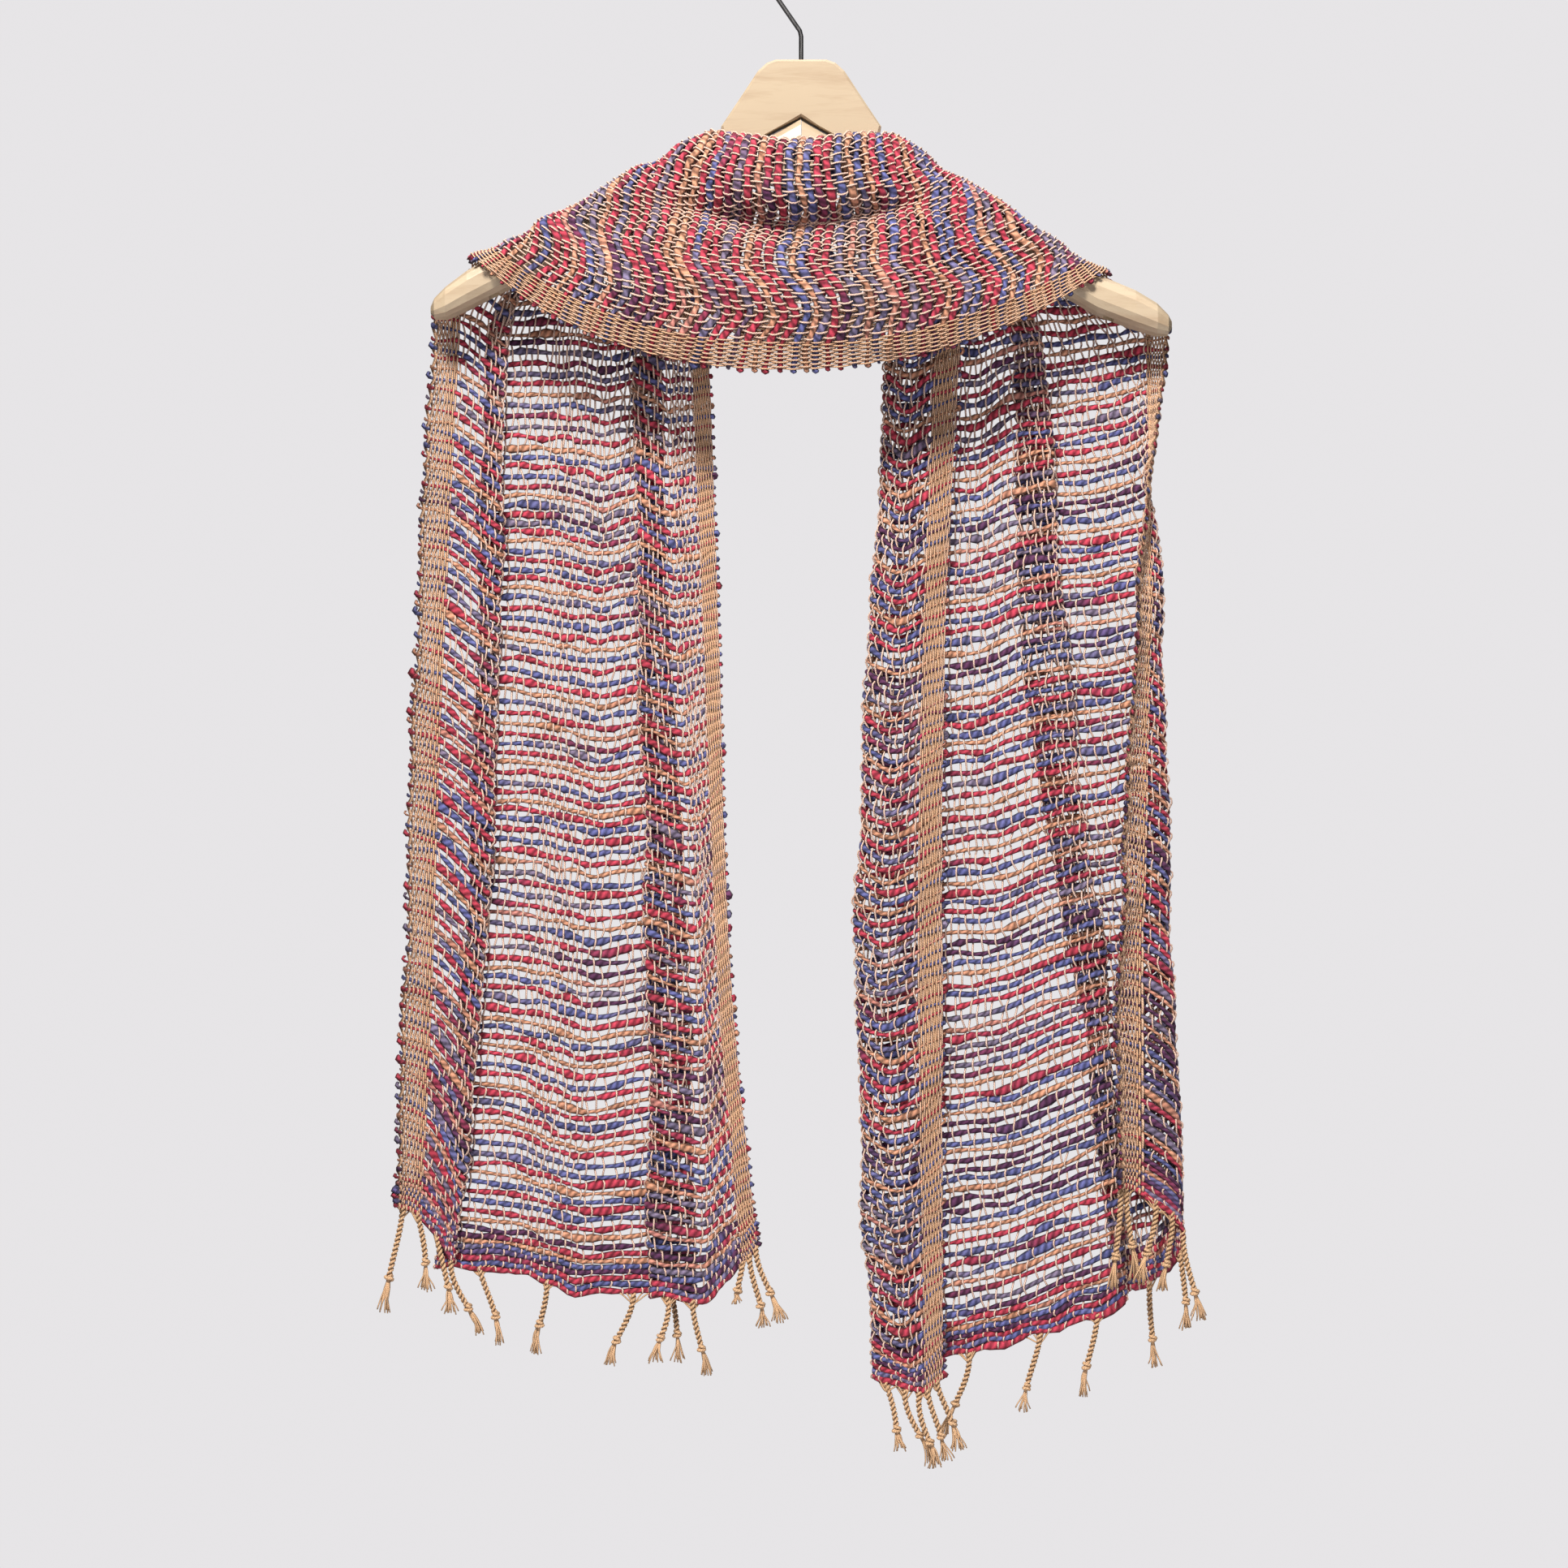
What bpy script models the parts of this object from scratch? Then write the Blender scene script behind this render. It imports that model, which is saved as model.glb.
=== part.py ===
# Rebozo shawl on a wooden hanger. Origin: where the hook rests on its peg. +Z is up, -Y is the front.
import math

import bmesh
import bpy
import numpy as np

MM = 0.001

# Cloth: flat width from the outer (lower) to the inner (upper) edge, wall and spacing.
CLOTH_WIDTH = 300
WALL = 1.6
SEAM_GAP = 0.3
FRINGE_GAP = 0.5
ARM_CLEARANCE = 4.0
FOLD_SOFTNESS = 4.0
DRAPE_SOFTNESS = 60.0
TURN_WEIGHT = 12.0
COLUMNS_ACROSS = 40
LINES_ACROSS = 301
TAIL_SHARES = np.linspace(0.0, 1.0, 20)
SWAG_SHARES = np.linspace(0.0, 1.0, 45)
SWAG_LENGTH = 560.0
WRAP_SMOOTHING = 5
CENTRE_X = 0.0

# Hanger arms, from the middle seam outwards: distance from the middle, height of the top line on
# each side, depth of the wood below it, width front to back, and how far the arm sweeps forward.
ARM_COLUMNS = ("x", "left_top", "right_top", "height", "width", "sweep")
ARM_ROWS = (
    (0.2, -112, -113, 34, 18, 0),
    (12, -119, -120, 31, 18, 0),
    (27, -127, -128, 27, 18, -0.5),
    (60, -141, -144, 23, 18, -2),
    (100, -158, -164, 22, 20, -4),
    (140, -175, -187, 23, 24, -7),
    (180, -194, -209, 25, 29, -10),
    (203, -207, -219, 24, 31, -12),
    (216, -217, -227, 20, 29, -13),
    (223, -224, -234, 13, 21, -13.5),
    (225.5, -229, -238, 5, 9, -13.5),
)
ARM_SIDES = 14
ARM_SQUARENESS = 2.7
# Slots under the arms for a trouser bar: place along the arm, and length, width and height cut.
SLOT_X = 187
SLOT_SIZE = (6.4, 14.0, 6.4)

# Crown plate above the arms: half-width of the plate at each height.
CROWN_COLUMNS = ("z", "half_width")
CROWN_ROWS = ((-77.0, 15.5), (-79.0, 21.0), (-84.0, 26.5), (-100.0, 37.0), (-118.0, 49.0))
CROWN_THICKNESS = 15
CROWN_EDGE = 1.5
CROWN_FOOT = (45.0, 27.0, 12.0, 0.0, -12.0, -27.0, -45.0)
CROWN_FOOT_GAP = 1.2

# Wire hook.
HOOK_WIRE = 1.4
HOOK_BEND_RADIUS = 22
HOOK_STRAIGHT = 18
HOOK_SLANT = 55
HOOK_OPEN_END = -20
HOOK_SIDES = 10

# Where the folds of each hanging end cross the top of the arm, row for row with the tables of
# the ends below: distance across the cloth, place along the arm, and height above the wood.
CREST_COLUMNS = ("u", "x", "lift")
LEFT_CREST = (
    (0, -200, 1),
    (17, -188, 1),
    (47, -166, 1),
    (53, -161, 1),
    (62, -155, 2),
    (68, -150, 4),
    (100, -124, 6),
    (144, -88, 12),
    (180, -52, 14),
    (192, -52, 7),
    (286, -104, 6),
    (291, -104, 0.5),
    (294, -101, 0.5),
    (297, -98, 0.5),
    (300, -95, 0.5),
)
RIGHT_CREST = (
    (0, 187, 1),
    (17, 175, 1),
    (26, 168, 1),
    (33, 163, 1),
    (58, 145, 2),
    (92, 115, 9),
    (98, 110, 9),
    (113, 98, 9),
    (119, 93, 9),
    (150, 74, 13),
    (180, 54, 15),
    (192, 53, 4),
    (230, 82, 2),
    (265, 108, 1),
    (300, 134, 1),
)

# Front swag, line by line: depth and height at the middle, and how the line sags to each side.
SWAG_COLUMNS = ("u", "y", "z", "left_power", "right_power")
SWAG_ROWS = (
    (0, -48, -271, 2.5, 2.0),
    (17, -53, -255, 2.4, 2.0),
    (50, -60, -226, 2.3, 2.0),
    (85, -52, -197, 2.1, 2.0),
    (103, -38, -184, 2.0, 2.0),
    (118, -37, -175, 2.0, 2.0),
    (145, -49, -157, 2.0, 2.0),
    (168, -46, -138, 2.0, 2.0),
    (182, -36, -128, 2.0, 2.0),
    (189, -30, -128, 2.0, 2.0),
    (200, -25, -139, 2.0, 2.0),
    (300, -22, -250, 2.0, 2.0),
)

# Hanging ends, fold by fold from the outer edge inwards: how far the fold stands behind the
# arm, its place across the front at five heights, and how far the weave hangs lower there at
# the top and at the hem.
TAIL_COLUMNS = ("u", "depth", "x1", "x2", "x3", "x4", "x5", "top_drop", "hem_drop")
TAIL_HEIGHTS = (-260, -390, -515, -640, -765)
LEFT_TOP = -232
LEFT_HEM = -781
LEFT_TAIL = (
    (0, 4, -227, -234, -240, -242, -248, 0, 0),
    (17, 2, -211, -218, -224, -226, -232, 1, 6),
    (47, 0, -180, -183, -185, -192, -206, 14, 39),
    (53, 6, -180, -183, -185, -192, -206, 14, 40),
    (62, 7, -197, -200, -203, -209, -222, 14, 40),
    (68, 13, -197, -200, -203, -209, -222, 13, 39),
    (100, 13, -155, -159, -161, -165, -173, 13, 40),
    (144, 10, -121, -124, -125, -130, -135, 22, 57),
    (190, 15, -86, -84, -75, -66, -64, 16, 57),
    (196, 9, -86, -84, -75, -66, -64, 16, 57),
    (214, 8, -104, -102, -99, -96, -96, 15, 55),
    (220, 2, -104, -102, -99, -96, -96, 15, 55),
    (248, -1, -82, -79, -70, -60, -59, 24, 61),
    (283, 3, -68, -62, -57, -54, -42, 24, 36),
    (300, 4, -57, -52, -49, -46, -32, 22, 26),
)
RIGHT_TOP = -242
RIGHT_HEM = -794
RIGHT_TAIL = (
    (0, 3, 222, 206, 200, 193, 194, 0, -24),
    (17, 2, 213, 218, 213, 208, 208, 1, -22),
    (26, 3, 207, 226, 228, 231, 238, 2, -4),
    (33, 9, 203, 226, 228, 231, 238, 3, 12),
    (58, 14, 172, 185, 191, 206, 217, 5, 34),
    (92, 21, 131, 128, 140, 172, 187, 8, 46),
    (98, 15, 131, 128, 140, 172, 187, 8, 47),
    (113, 14, 152, 163, 173, 193, 199, 9, 48),
    (119, 7, 152, 163, 173, 193, 199, 9, 49),
    (170, 14, 105, 105, 110, 120, 124, 8, 76),
    (243, 13, 52, 43, 34, 30, 36, 14, 94),
    (249, 7, 52, 43, 34, 30, 36, 14, 94),
    (268, 2, 66, 60, 56, 46, 56, 24, 104),
    (283, 0, 82, 76, 72, 72, 74, 16, 103),
    (300, 2, 97, 89, 86, 87, 87, 12, 93),
)

# Tassels at each hem: place of the root across the width, sideways and forward swing of the
# free end, and length.
TASSEL_COLUMNS = ("u", "swing", "forward", "length")
LEFT_TASSELS = (
    (4, -11, -4, 58),
    (14, 7, -2, 42),
    (30, 9, -3, 41),
    (44, 16, 0, 40),
    (86, 14, -2, 42),
    (122, -8, 3, 40),
    (165, -14, 0, 38),
    (180, 5, -3, 36),
    (230, -6, -3, 34),
    (242, 8, 0, 40),
    (284, -4, -2, 20),
    (291, 9, 2, 40),
    (298, 14, -3, 40),
)
RIGHT_TASSELS = (
    (2, -4, -3, 56),
    (7, 5, -2, 50),
    (20, -9, -7, 44),
    (24, -5, -2, 42),
    (30, 9, -3, 48),
    (40, 4, 2, 42),
    (66, 3, 2, 48),
    (132, -9, 2, 45),
    (156, -11, 0, 42),
    (190, -14, 2, 46),
    (256, 10, -3, 36),
    (266, 14, 0, 40),
    (278, 8, -4, 40),
    (285, 12, 2, 38),
    (294, 14, -2, 36),
)
TASSEL_ROOT = 3.4
TASSEL_TIP = 2.6
TASSEL_STEPS = 5
STRIP_HEIGHT = 3.0

MATERIALS = {
    "cloth": ((0.62, 0.30, 0.32), 0.85, 0.0),
    "fringe": ((0.66, 0.45, 0.27), 0.85, 0.0),
    "wood": ((0.84, 0.67, 0.46), 0.5, 0.0),
    "steel": ((0.72, 0.72, 0.72), 0.25, 1.0),
}


def column(rows, columns, name):
    return np.array([row[columns.index(name)] for row in rows], dtype=float)


def soft_line(place, knots, values, softness):
    """Straight runs from knot to knot, their corners rounded off over the softness."""
    slopes = [(b - a) / (v - u) for a, b, u, v in zip(values, values[1:], knots, knots[1:])]
    line = values[0] + slopes[0] * (place - knots[0])
    for knot, before, after in zip(knots[1:], slopes, slopes[1:]):
        past = place - knot
        line = line + (after - before) * 0.5 * (past + np.sqrt(past * past + softness * softness))
    return line


def table_line(u, rows, columns, name):
    return soft_line(u, column(rows, columns, "u"), column(rows, columns, name), FOLD_SOFTNESS)


def arm_value(x, name):
    """A size of the arm at any place along it; the sides have their own top lines."""
    reach = column(ARM_ROWS, ARM_COLUMNS, "x")
    if name == "top":
        left = np.interp(-x, reach, column(ARM_ROWS, ARM_COLUMNS, "left_top"))
        right = np.interp(x, reach, column(ARM_ROWS, ARM_COLUMNS, "right_top"))
        return np.where(x < 0, left, right)
    return np.interp(np.abs(x), reach, column(ARM_ROWS, ARM_COLUMNS, name))


def round_the_arm(x, z, lift):
    """How far in front of, or behind, the arm's middle a line stands that wraps round it."""
    below = arm_value(x, "top") + ARM_CLEARANCE + lift - z
    half = 0.5 * arm_value(x, "height") + ARM_CLEARANCE + lift
    turn = 1.0 - np.clip(below / half, 0.0, 1.0)
    return (0.5 * arm_value(x, "width") + ARM_CLEARANCE + lift) * np.sqrt(1.0 - turn * turn)


def tail_rows(side):
    return (LEFT_TAIL, LEFT_TOP, LEFT_HEM) if side < 0 else (RIGHT_TAIL, RIGHT_TOP, RIGHT_HEM)


def crest_rows(side):
    return LEFT_CREST if side < 0 else RIGHT_CREST


def tail_x(side, u, z):
    rows = tail_rows(side)[0]
    stations = [table_line(u, rows, TAIL_COLUMNS, name) for name in ("x1", "x2", "x3", "x4", "x5")]
    heights = -np.array(TAIL_HEIGHTS, dtype=float)
    return soft_line(-z, heights, np.array(stations), DRAPE_SOFTNESS)


def tail_points(side, u, share):
    """Hanging end: share 0 is its top behind the arm, share 1 its hem."""
    rows, top, hem = tail_rows(side)
    high = top - table_line(u, rows, TAIL_COLUMNS, "top_drop")
    low = hem - table_line(u, rows, TAIL_COLUMNS, "hem_drop")
    z = high + share * (low - high)
    x = tail_x(side, u, z)
    start = tail_x(side, u, high) + 0.0 * z
    back = arm_value(start, "sweep") + 0.5 * arm_value(start, "width") + ARM_CLEARANCE
    y = back + table_line(u, rows, TAIL_COLUMNS, "depth")
    return np.stack([x, y, z], axis=-1)


def folded_back(side, u, z, ease):
    """Place and lift of a line between the crest (ease 0) and the hanging end's top (ease 1)."""
    rows = tail_rows(side)[0]
    crest = crest_rows(side)
    knots, places, lifts = [], [], []
    heights = -np.array(TAIL_HEIGHTS, dtype=float)
    for over, hung in zip(crest, rows):
        knots.append(over[0] + (hung[0] - over[0]) * ease)
        place = soft_line(-z, heights, hung[2:7], DRAPE_SOFTNESS)
        places.append(over[1] + (place - over[1]) * ease)
        lifts.append(over[2] + (hung[1] - over[2]) * ease)
    return soft_line(u, knots, places, FOLD_SOFTNESS), soft_line(u, knots, lifts, FOLD_SOFTNESS)


def shoulder_path(side, u):
    """One lengthwise line from the top of a hanging end, over the arm, to the swag's middle."""
    rows, top, _ = tail_rows(side)
    crest_x = table_line(u, crest_rows(side), CREST_COLUMNS, "x")
    crest_lift = table_line(u, crest_rows(side), CREST_COLUMNS, "lift")
    crest_z = arm_value(crest_x, "top") + ARM_CLEARANCE + crest_lift
    # Behind the arm, from the top of the hanging end up to the crest.
    low = top - table_line(u, rows, TAIL_COLUMNS, "top_drop")
    rise = 1.0 - np.linspace(0.0, 1.0, 60) ** 2
    z = crest_z - (crest_z - low) * rise
    x, lift = folded_back(side, u, z, rise * rise * (3.0 - 2.0 * rise))
    y = arm_value(x, "sweep") + round_the_arm(x, z, lift)
    behind = np.stack([x, y, z], axis=-1)
    # In front of the arm, from the crest down to the middle.
    power = "left_power" if side < 0 else "right_power"
    middle_y = table_line(u, SWAG_ROWS, SWAG_COLUMNS, "y")
    middle_z = table_line(u, SWAG_ROWS, SWAG_COLUMNS, "z")
    spread = 1.0 - np.linspace(0.0, 1.0, 90)[1:] ** 2
    x = CENTRE_X + (crest_x - CENTRE_X) * spread
    z = middle_z + (crest_z - middle_z) * spread ** table_line(u, SWAG_ROWS, SWAG_COLUMNS, power)
    wrapped = arm_value(x, "sweep") - round_the_arm(x, z, crest_lift)
    hung = middle_y + (arm_value(crest_x, "sweep") - middle_y) * spread ** 2.5
    y = 0.5 * (wrapped + hung - np.sqrt((wrapped - hung) ** 2 + 2.0))
    front = np.stack([x, y, z], axis=-1)
    return np.concatenate([behind, front])


def even_steps(path, shares):
    """Points along a path at the given shares of its length, its corners eased first."""
    for _ in range(WRAP_SMOOTHING):
        path[1:-1] = 0.25 * path[:-2] + 0.5 * path[1:-1] + 0.25 * path[2:]
    run = np.concatenate([[0.0], np.cumsum(np.linalg.norm(np.diff(path, axis=0), axis=1))])
    return np.stack([np.interp(shares * run[-1], run, path[:, k]) for k in range(3)], axis=-1)


def dense_path(path, count):
    run = np.concatenate([[0.0], np.cumsum(np.linalg.norm(np.diff(path, axis=0), axis=1))])
    places = np.linspace(0.0, run[-1], count)
    return np.stack([np.interp(places, run, path[:, k]) for k in range(3)], axis=-1)


def swag_line(u, shares):
    """A whole lengthwise line of the middle stretch, from the left end's top to the right's."""
    left = shoulder_path(-1, u)
    right = shoulder_path(1, u)[::-1]
    return even_steps(dense_path(np.concatenate([left, right[1:]]), 400), shares)


def fit_columns(lines, count):
    """Columns of a stretch from its close-set lengthwise lines, closest where the folds turn."""
    across = np.linspace(0.0, CLOTH_WIDTH, len(lines))
    grid = np.empty((count, lines.shape[1], 3))
    places = np.empty((count, lines.shape[1]))
    for j in range(lines.shape[1]):
        step = np.diff(lines[:, j], axis=0)
        size = np.linalg.norm(step, axis=1)
        way = step / size[:, None]
        turn = np.arccos(np.clip(np.sum(way[1:] * way[:-1], axis=1), -1.0, 1.0))
        weight = size.copy()
        weight[1:] += 0.5 * TURN_WEIGHT * turn
        weight[:-1] += 0.5 * TURN_WEIGHT * turn
        run = np.concatenate([[0.0], np.cumsum(weight)])
        places[:, j] = np.interp(np.linspace(0.0, run[-1], count), run, across)
        grid[:, j] = spread_along(places[:, j], across, lines[:, j])
    return grid * MM, places


def spread_along(places, knots, points):
    return np.stack([np.interp(places, knots, points[:, k]) for k in range(3)], axis=-1)


def tail_grid(side, shares):
    across = np.linspace(0.0, CLOTH_WIDTH, LINES_ACROSS)
    return fit_columns(np.array([tail_points(side, u, shares) for u in across]), COLUMNS_ACROSS)


def swag_grid(shares):
    across = np.linspace(0.0, CLOTH_WIDTH, LINES_ACROSS)
    return fit_columns(np.array([swag_line(u, shares) for u in across]), COLUMNS_ACROSS)


def grid_normals(grid):
    across = np.gradient(grid, axis=0)
    along = np.gradient(grid, axis=1)
    normal = np.cross(across, along)
    return normal / np.linalg.norm(normal, axis=2, keepdims=True)


def new_object(name, mesh_data, material):
    mesh = bpy.data.meshes.new(name)
    mesh.from_pydata(*mesh_data)
    mesh.validate()
    shaper = bmesh.new()
    shaper.from_mesh(mesh)
    bmesh.ops.recalc_face_normals(shaper, faces=shaper.faces)
    shaper.to_mesh(mesh)
    shaper.free()
    for polygon in mesh.polygons:
        polygon.use_smooth = True
    mesh.materials.append(material)
    piece = bpy.data.objects.new(name, mesh)
    bpy.context.scene.collection.objects.link(piece)
    return piece


def wall_mesh(grid, normals, thickness):
    """A closed wall of even thickness round a grid of points."""
    rows, cols = grid.shape[:2]
    offset = normals * 0.5 * thickness * MM
    points = np.concatenate([(grid + offset).reshape(-1, 3), (grid - offset).reshape(-1, 3)])
    other = rows * cols
    faces = []
    for i in range(rows - 1):
        for j in range(cols - 1):
            a, b, c, d = (i * cols + j, (i + 1) * cols + j, (i + 1) * cols + j + 1, i * cols + j + 1)
            faces.append((a, b, c, d))
            faces.append((d + other, c + other, b + other, a + other))
    # The rims: both ends are split along the same diagonals, so that neighbours fit at a seam.
    for i in range(rows - 1):
        for edge in (0, cols - 1):
            a, b = i * cols + edge, (i + 1) * cols + edge
            faces.append((a, b, b + other))
            faces.append((a, b + other, a + other))
    for j in range(cols - 1):
        for edge in (0, (rows - 1) * cols):
            a, b = edge + j, edge + j + 1
            faces.append((a, b, b + other, a + other))
    return points.tolist(), [], faces


def ring_mesh(rings):
    """A closed body through rings of points, each ring with as many points as the next."""
    count = len(rings[0])
    points = [tuple(point) for ring in rings for point in ring]
    faces = []
    for k in range(len(rings) - 1):
        for i in range(count):
            nxt = (i + 1) % count
            faces.append((k * count + i, k * count + nxt, (k + 1) * count + nxt, (k + 1) * count + i))
    faces.append(tuple(range(count))[::-1])
    faces.append(tuple((len(rings) - 1) * count + i for i in range(count)))
    return points, [], faces


def arm_rings(side):
    rings = []
    top_name = "left_top" if side < 0 else "right_top"
    for row in ARM_ROWS:
        values = dict(zip(ARM_COLUMNS, row))
        ring = []
        for k in range(ARM_SIDES):
            angle = 2.0 * math.pi * (k + 0.5) / ARM_SIDES
            cosine, sine = math.cos(angle), math.sin(angle)
            y = math.copysign(abs(cosine) ** (2.0 / ARM_SQUARENESS), cosine)
            z = math.copysign(abs(sine) ** (2.0 / ARM_SQUARENESS), sine)
            middle = values[top_name] - 0.5 * values["height"]
            ring.append((side * values["x"] * MM, (values["sweep"] + 0.5 * values["width"] * y) * MM,
                         (middle + 0.5 * values["height"] * z) * MM))
        rings.append(ring)
    return rings


def build_arm(name, side, material):
    arm = new_object(name, ring_mesh(arm_rings(side)), material)
    place = np.float64(side * SLOT_X)
    middle_y = float(arm_value(place, "sweep"))
    under = float(arm_value(place, "top") - arm_value(place, "height"))
    half = [0.5 * size * MM for size in SLOT_SIZE]
    signs = (-1, 1)
    corners = [(i * half[0], j * half[1], k * half[2]) for i in signs for j in signs for k in signs]
    faces = [(0, 1, 3, 2), (4, 6, 7, 5), (0, 4, 5, 1), (2, 3, 7, 6), (0, 2, 6, 4), (1, 5, 7, 3)]
    cutter = new_object(name + "_slot_cutter", (corners, [], faces), material)
    cutter.location = (side * SLOT_X * MM, middle_y * MM, under * MM)
    cutter.hide_render = True
    cutter.display_type = "WIRE"
    slot = arm.modifiers.new("bar slot", "BOOLEAN")
    slot.operation = "DIFFERENCE"
    slot.solver = "EXACT"
    slot.object = cutter
    return arm


def build_crown(material):
    """The plate above the arms: a bevelled outline with its foot following the arms' top."""
    half = 0.5 * CROWN_THICKNESS
    outline = [(-row[1], row[0]) for row in CROWN_ROWS[::-1]]
    outline += [(row[1], row[0]) for row in CROWN_ROWS]
    for x in CROWN_FOOT:
        outline.append((x, float(arm_value(np.float64(x), "top")) + CROWN_FOOT_GAP))
    centre = np.mean(np.array(outline), axis=0)
    rings = []
    flat = half - CROWN_EDGE
    for y, inset in ((-half, CROWN_EDGE), (-flat, 0.0), (flat, 0.0), (half, CROWN_EDGE)):
        ring = []
        for x, z in outline:
            away = np.array((x, z)) - centre
            shrink = 1.0 - inset / np.linalg.norm(away)
            point = centre + away * shrink
            ring.append((point[0] * MM, y * MM, point[1] * MM))
        rings.append(ring)
    return new_object("hanger_crown", ring_mesh(rings), material)


def tube_rings(path, radius, sides):
    """Rings square to a flat path that lies in the X-Z plane."""
    path = np.array(path, dtype=float)
    along = np.gradient(path, axis=0)
    along /= np.linalg.norm(along, axis=1, keepdims=True)
    rings = []
    for point, way in zip(path, along):
        side = np.array((way[2], 0.0, -way[0]))
        front = np.array((0.0, 1.0, 0.0))
        ring = []
        for k in range(sides):
            angle = 2.0 * math.pi * k / sides
            ring.append((point + radius * (math.cos(angle) * side + math.sin(angle) * front)) * MM)
        rings.append(ring)
    return rings


def hook_path():
    crown_top = CROWN_ROWS[0][0] + SEAM_GAP
    slant = math.radians(HOOK_SLANT)
    inside = HOOK_BEND_RADIUS
    centre_z = -inside + HOOK_WIRE
    start = math.pi + slant - math.radians(20.0)
    end = math.radians(HOOK_OPEN_END)
    arc = []
    for k in range(19):
        angle = start + (end - start) * k / 18
        arc.append((inside * math.cos(angle), 0.0, centre_z + inside * math.sin(angle)))
    bend_z = crown_top + HOOK_STRAIGHT
    stem = [(0.0, 0.0, crown_top), (0.0, 0.0, crown_top + 0.5 * HOOK_STRAIGHT), (0.0, 0.0, bend_z - 3)]
    stem.append((-0.8, 0.0, bend_z + 0.5))
    return stem + arc


def level(way):
    """A direction with its rise taken out, one unit long."""
    flat = np.array((way[0], way[1], 0.0))
    return flat / np.linalg.norm(flat)


def build_tassels(name, side, rows, material):
    """A narrow strip under the hem with one cord hanging from it at each root."""
    roots = column(rows, TASSEL_COLUMNS, "u")
    half_root = 0.5 * TASSEL_ROOT
    # The strip keeps to the facets of the cloth's own hem.
    grid, widths = tail_grid(side, TAIL_SHARES)
    widths = widths[:, -1]
    places = [place for place in widths if min(abs(place - roots)) > TASSEL_ROOT]
    starts = [max(0.0, root - half_root) for root in roots]
    ends = [start + TASSEL_ROOT if start == 0.0 else root + half_root for start, root in zip(starts, roots)]
    ends = [min(CLOTH_WIDTH, end) for end in ends]
    places = np.array(sorted(set(places) | set(starts) | set(ends) | {0.0, float(CLOTH_WIDTH)}))
    hem = grid[:, -1]
    normal = grid_normals(grid)[:, -1]
    down = np.cross(np.gradient(hem, axis=0), normal)
    down *= np.sign(np.sum(down * (hem - grid[:, -2]), axis=1, keepdims=True))
    down /= np.linalg.norm(down, axis=1, keepdims=True)
    top = spread_along(places, widths, hem + down * FRINGE_GAP * MM)
    foot = spread_along(places, widths, hem + down * (FRINGE_GAP + STRIP_HEIGHT) * MM)
    half = 0.5 * WALL * MM * spread_along(places, widths, normal)
    points = [tuple(point) for ring in (top + half, top - half, foot + half, foot - half) for point in ring]
    count = len(places)
    faces = []
    cords = {}
    for tassel, start in zip(rows, starts):
        cords[int(np.argmin(abs(places - start)))] = dict(zip(TASSEL_COLUMNS, tassel))
    for i in range(count - 1):
        j = i + 1
        faces.append((i, j, count + j, count + i))
        faces.append((i, 2 * count + i, 2 * count + j, j))
        faces.append((count + i, count + j, 3 * count + j, 3 * count + i))
        base = (2 * count + i, 3 * count + i, 3 * count + j, 2 * count + j)
        if i not in cords:
            faces.append(base)
            continue
        cord = cords[i]
        root = np.mean([points[k] for k in base], axis=0)
        sideways = level(np.subtract(points[base[3]], points[base[0]]))
        frontways = level(np.subtract(points[base[0]], points[base[1]]))
        ring = base
        for step in range(1, TASSEL_STEPS + 1):
            share = step / TASSEL_STEPS
            size = 0.5 * (TASSEL_ROOT + (TASSEL_TIP - TASSEL_ROOT) * share) * MM
            corners = size * np.array((frontways - sideways, -frontways - sideways,
                                       sideways - frontways, frontways + sideways))
            lean = share * share * (3.0 - 2.0 * share)
            shift = np.array((cord["swing"] * lean, cord["forward"] * lean, -cord["length"] * share)) * MM
            first = len(points)
            points.extend(tuple(point) for point in root + corners + shift)
            nxt = tuple(range(first, first + 4))
            for a in range(4):
                b = (a + 1) % 4
                faces.append((ring[a], ring[b], nxt[b], nxt[a]))
            ring = nxt
        faces.append(ring)
    for i in (0, count - 1):
        faces.append((i, count + i, 3 * count + i, 2 * count + i))
    return new_object(name, (points, [], faces), material)


def make_material(name):
    color, roughness, metallic = MATERIALS[name]
    material = bpy.data.materials.new(name)
    material.use_nodes = True
    shader = material.node_tree.nodes["Principled BSDF"]
    shader.inputs["Base Color"].default_value = (*color, 1.0)
    shader.inputs["Roughness"].default_value = roughness
    shader.inputs["Metallic"].default_value = metallic
    return material


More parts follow.
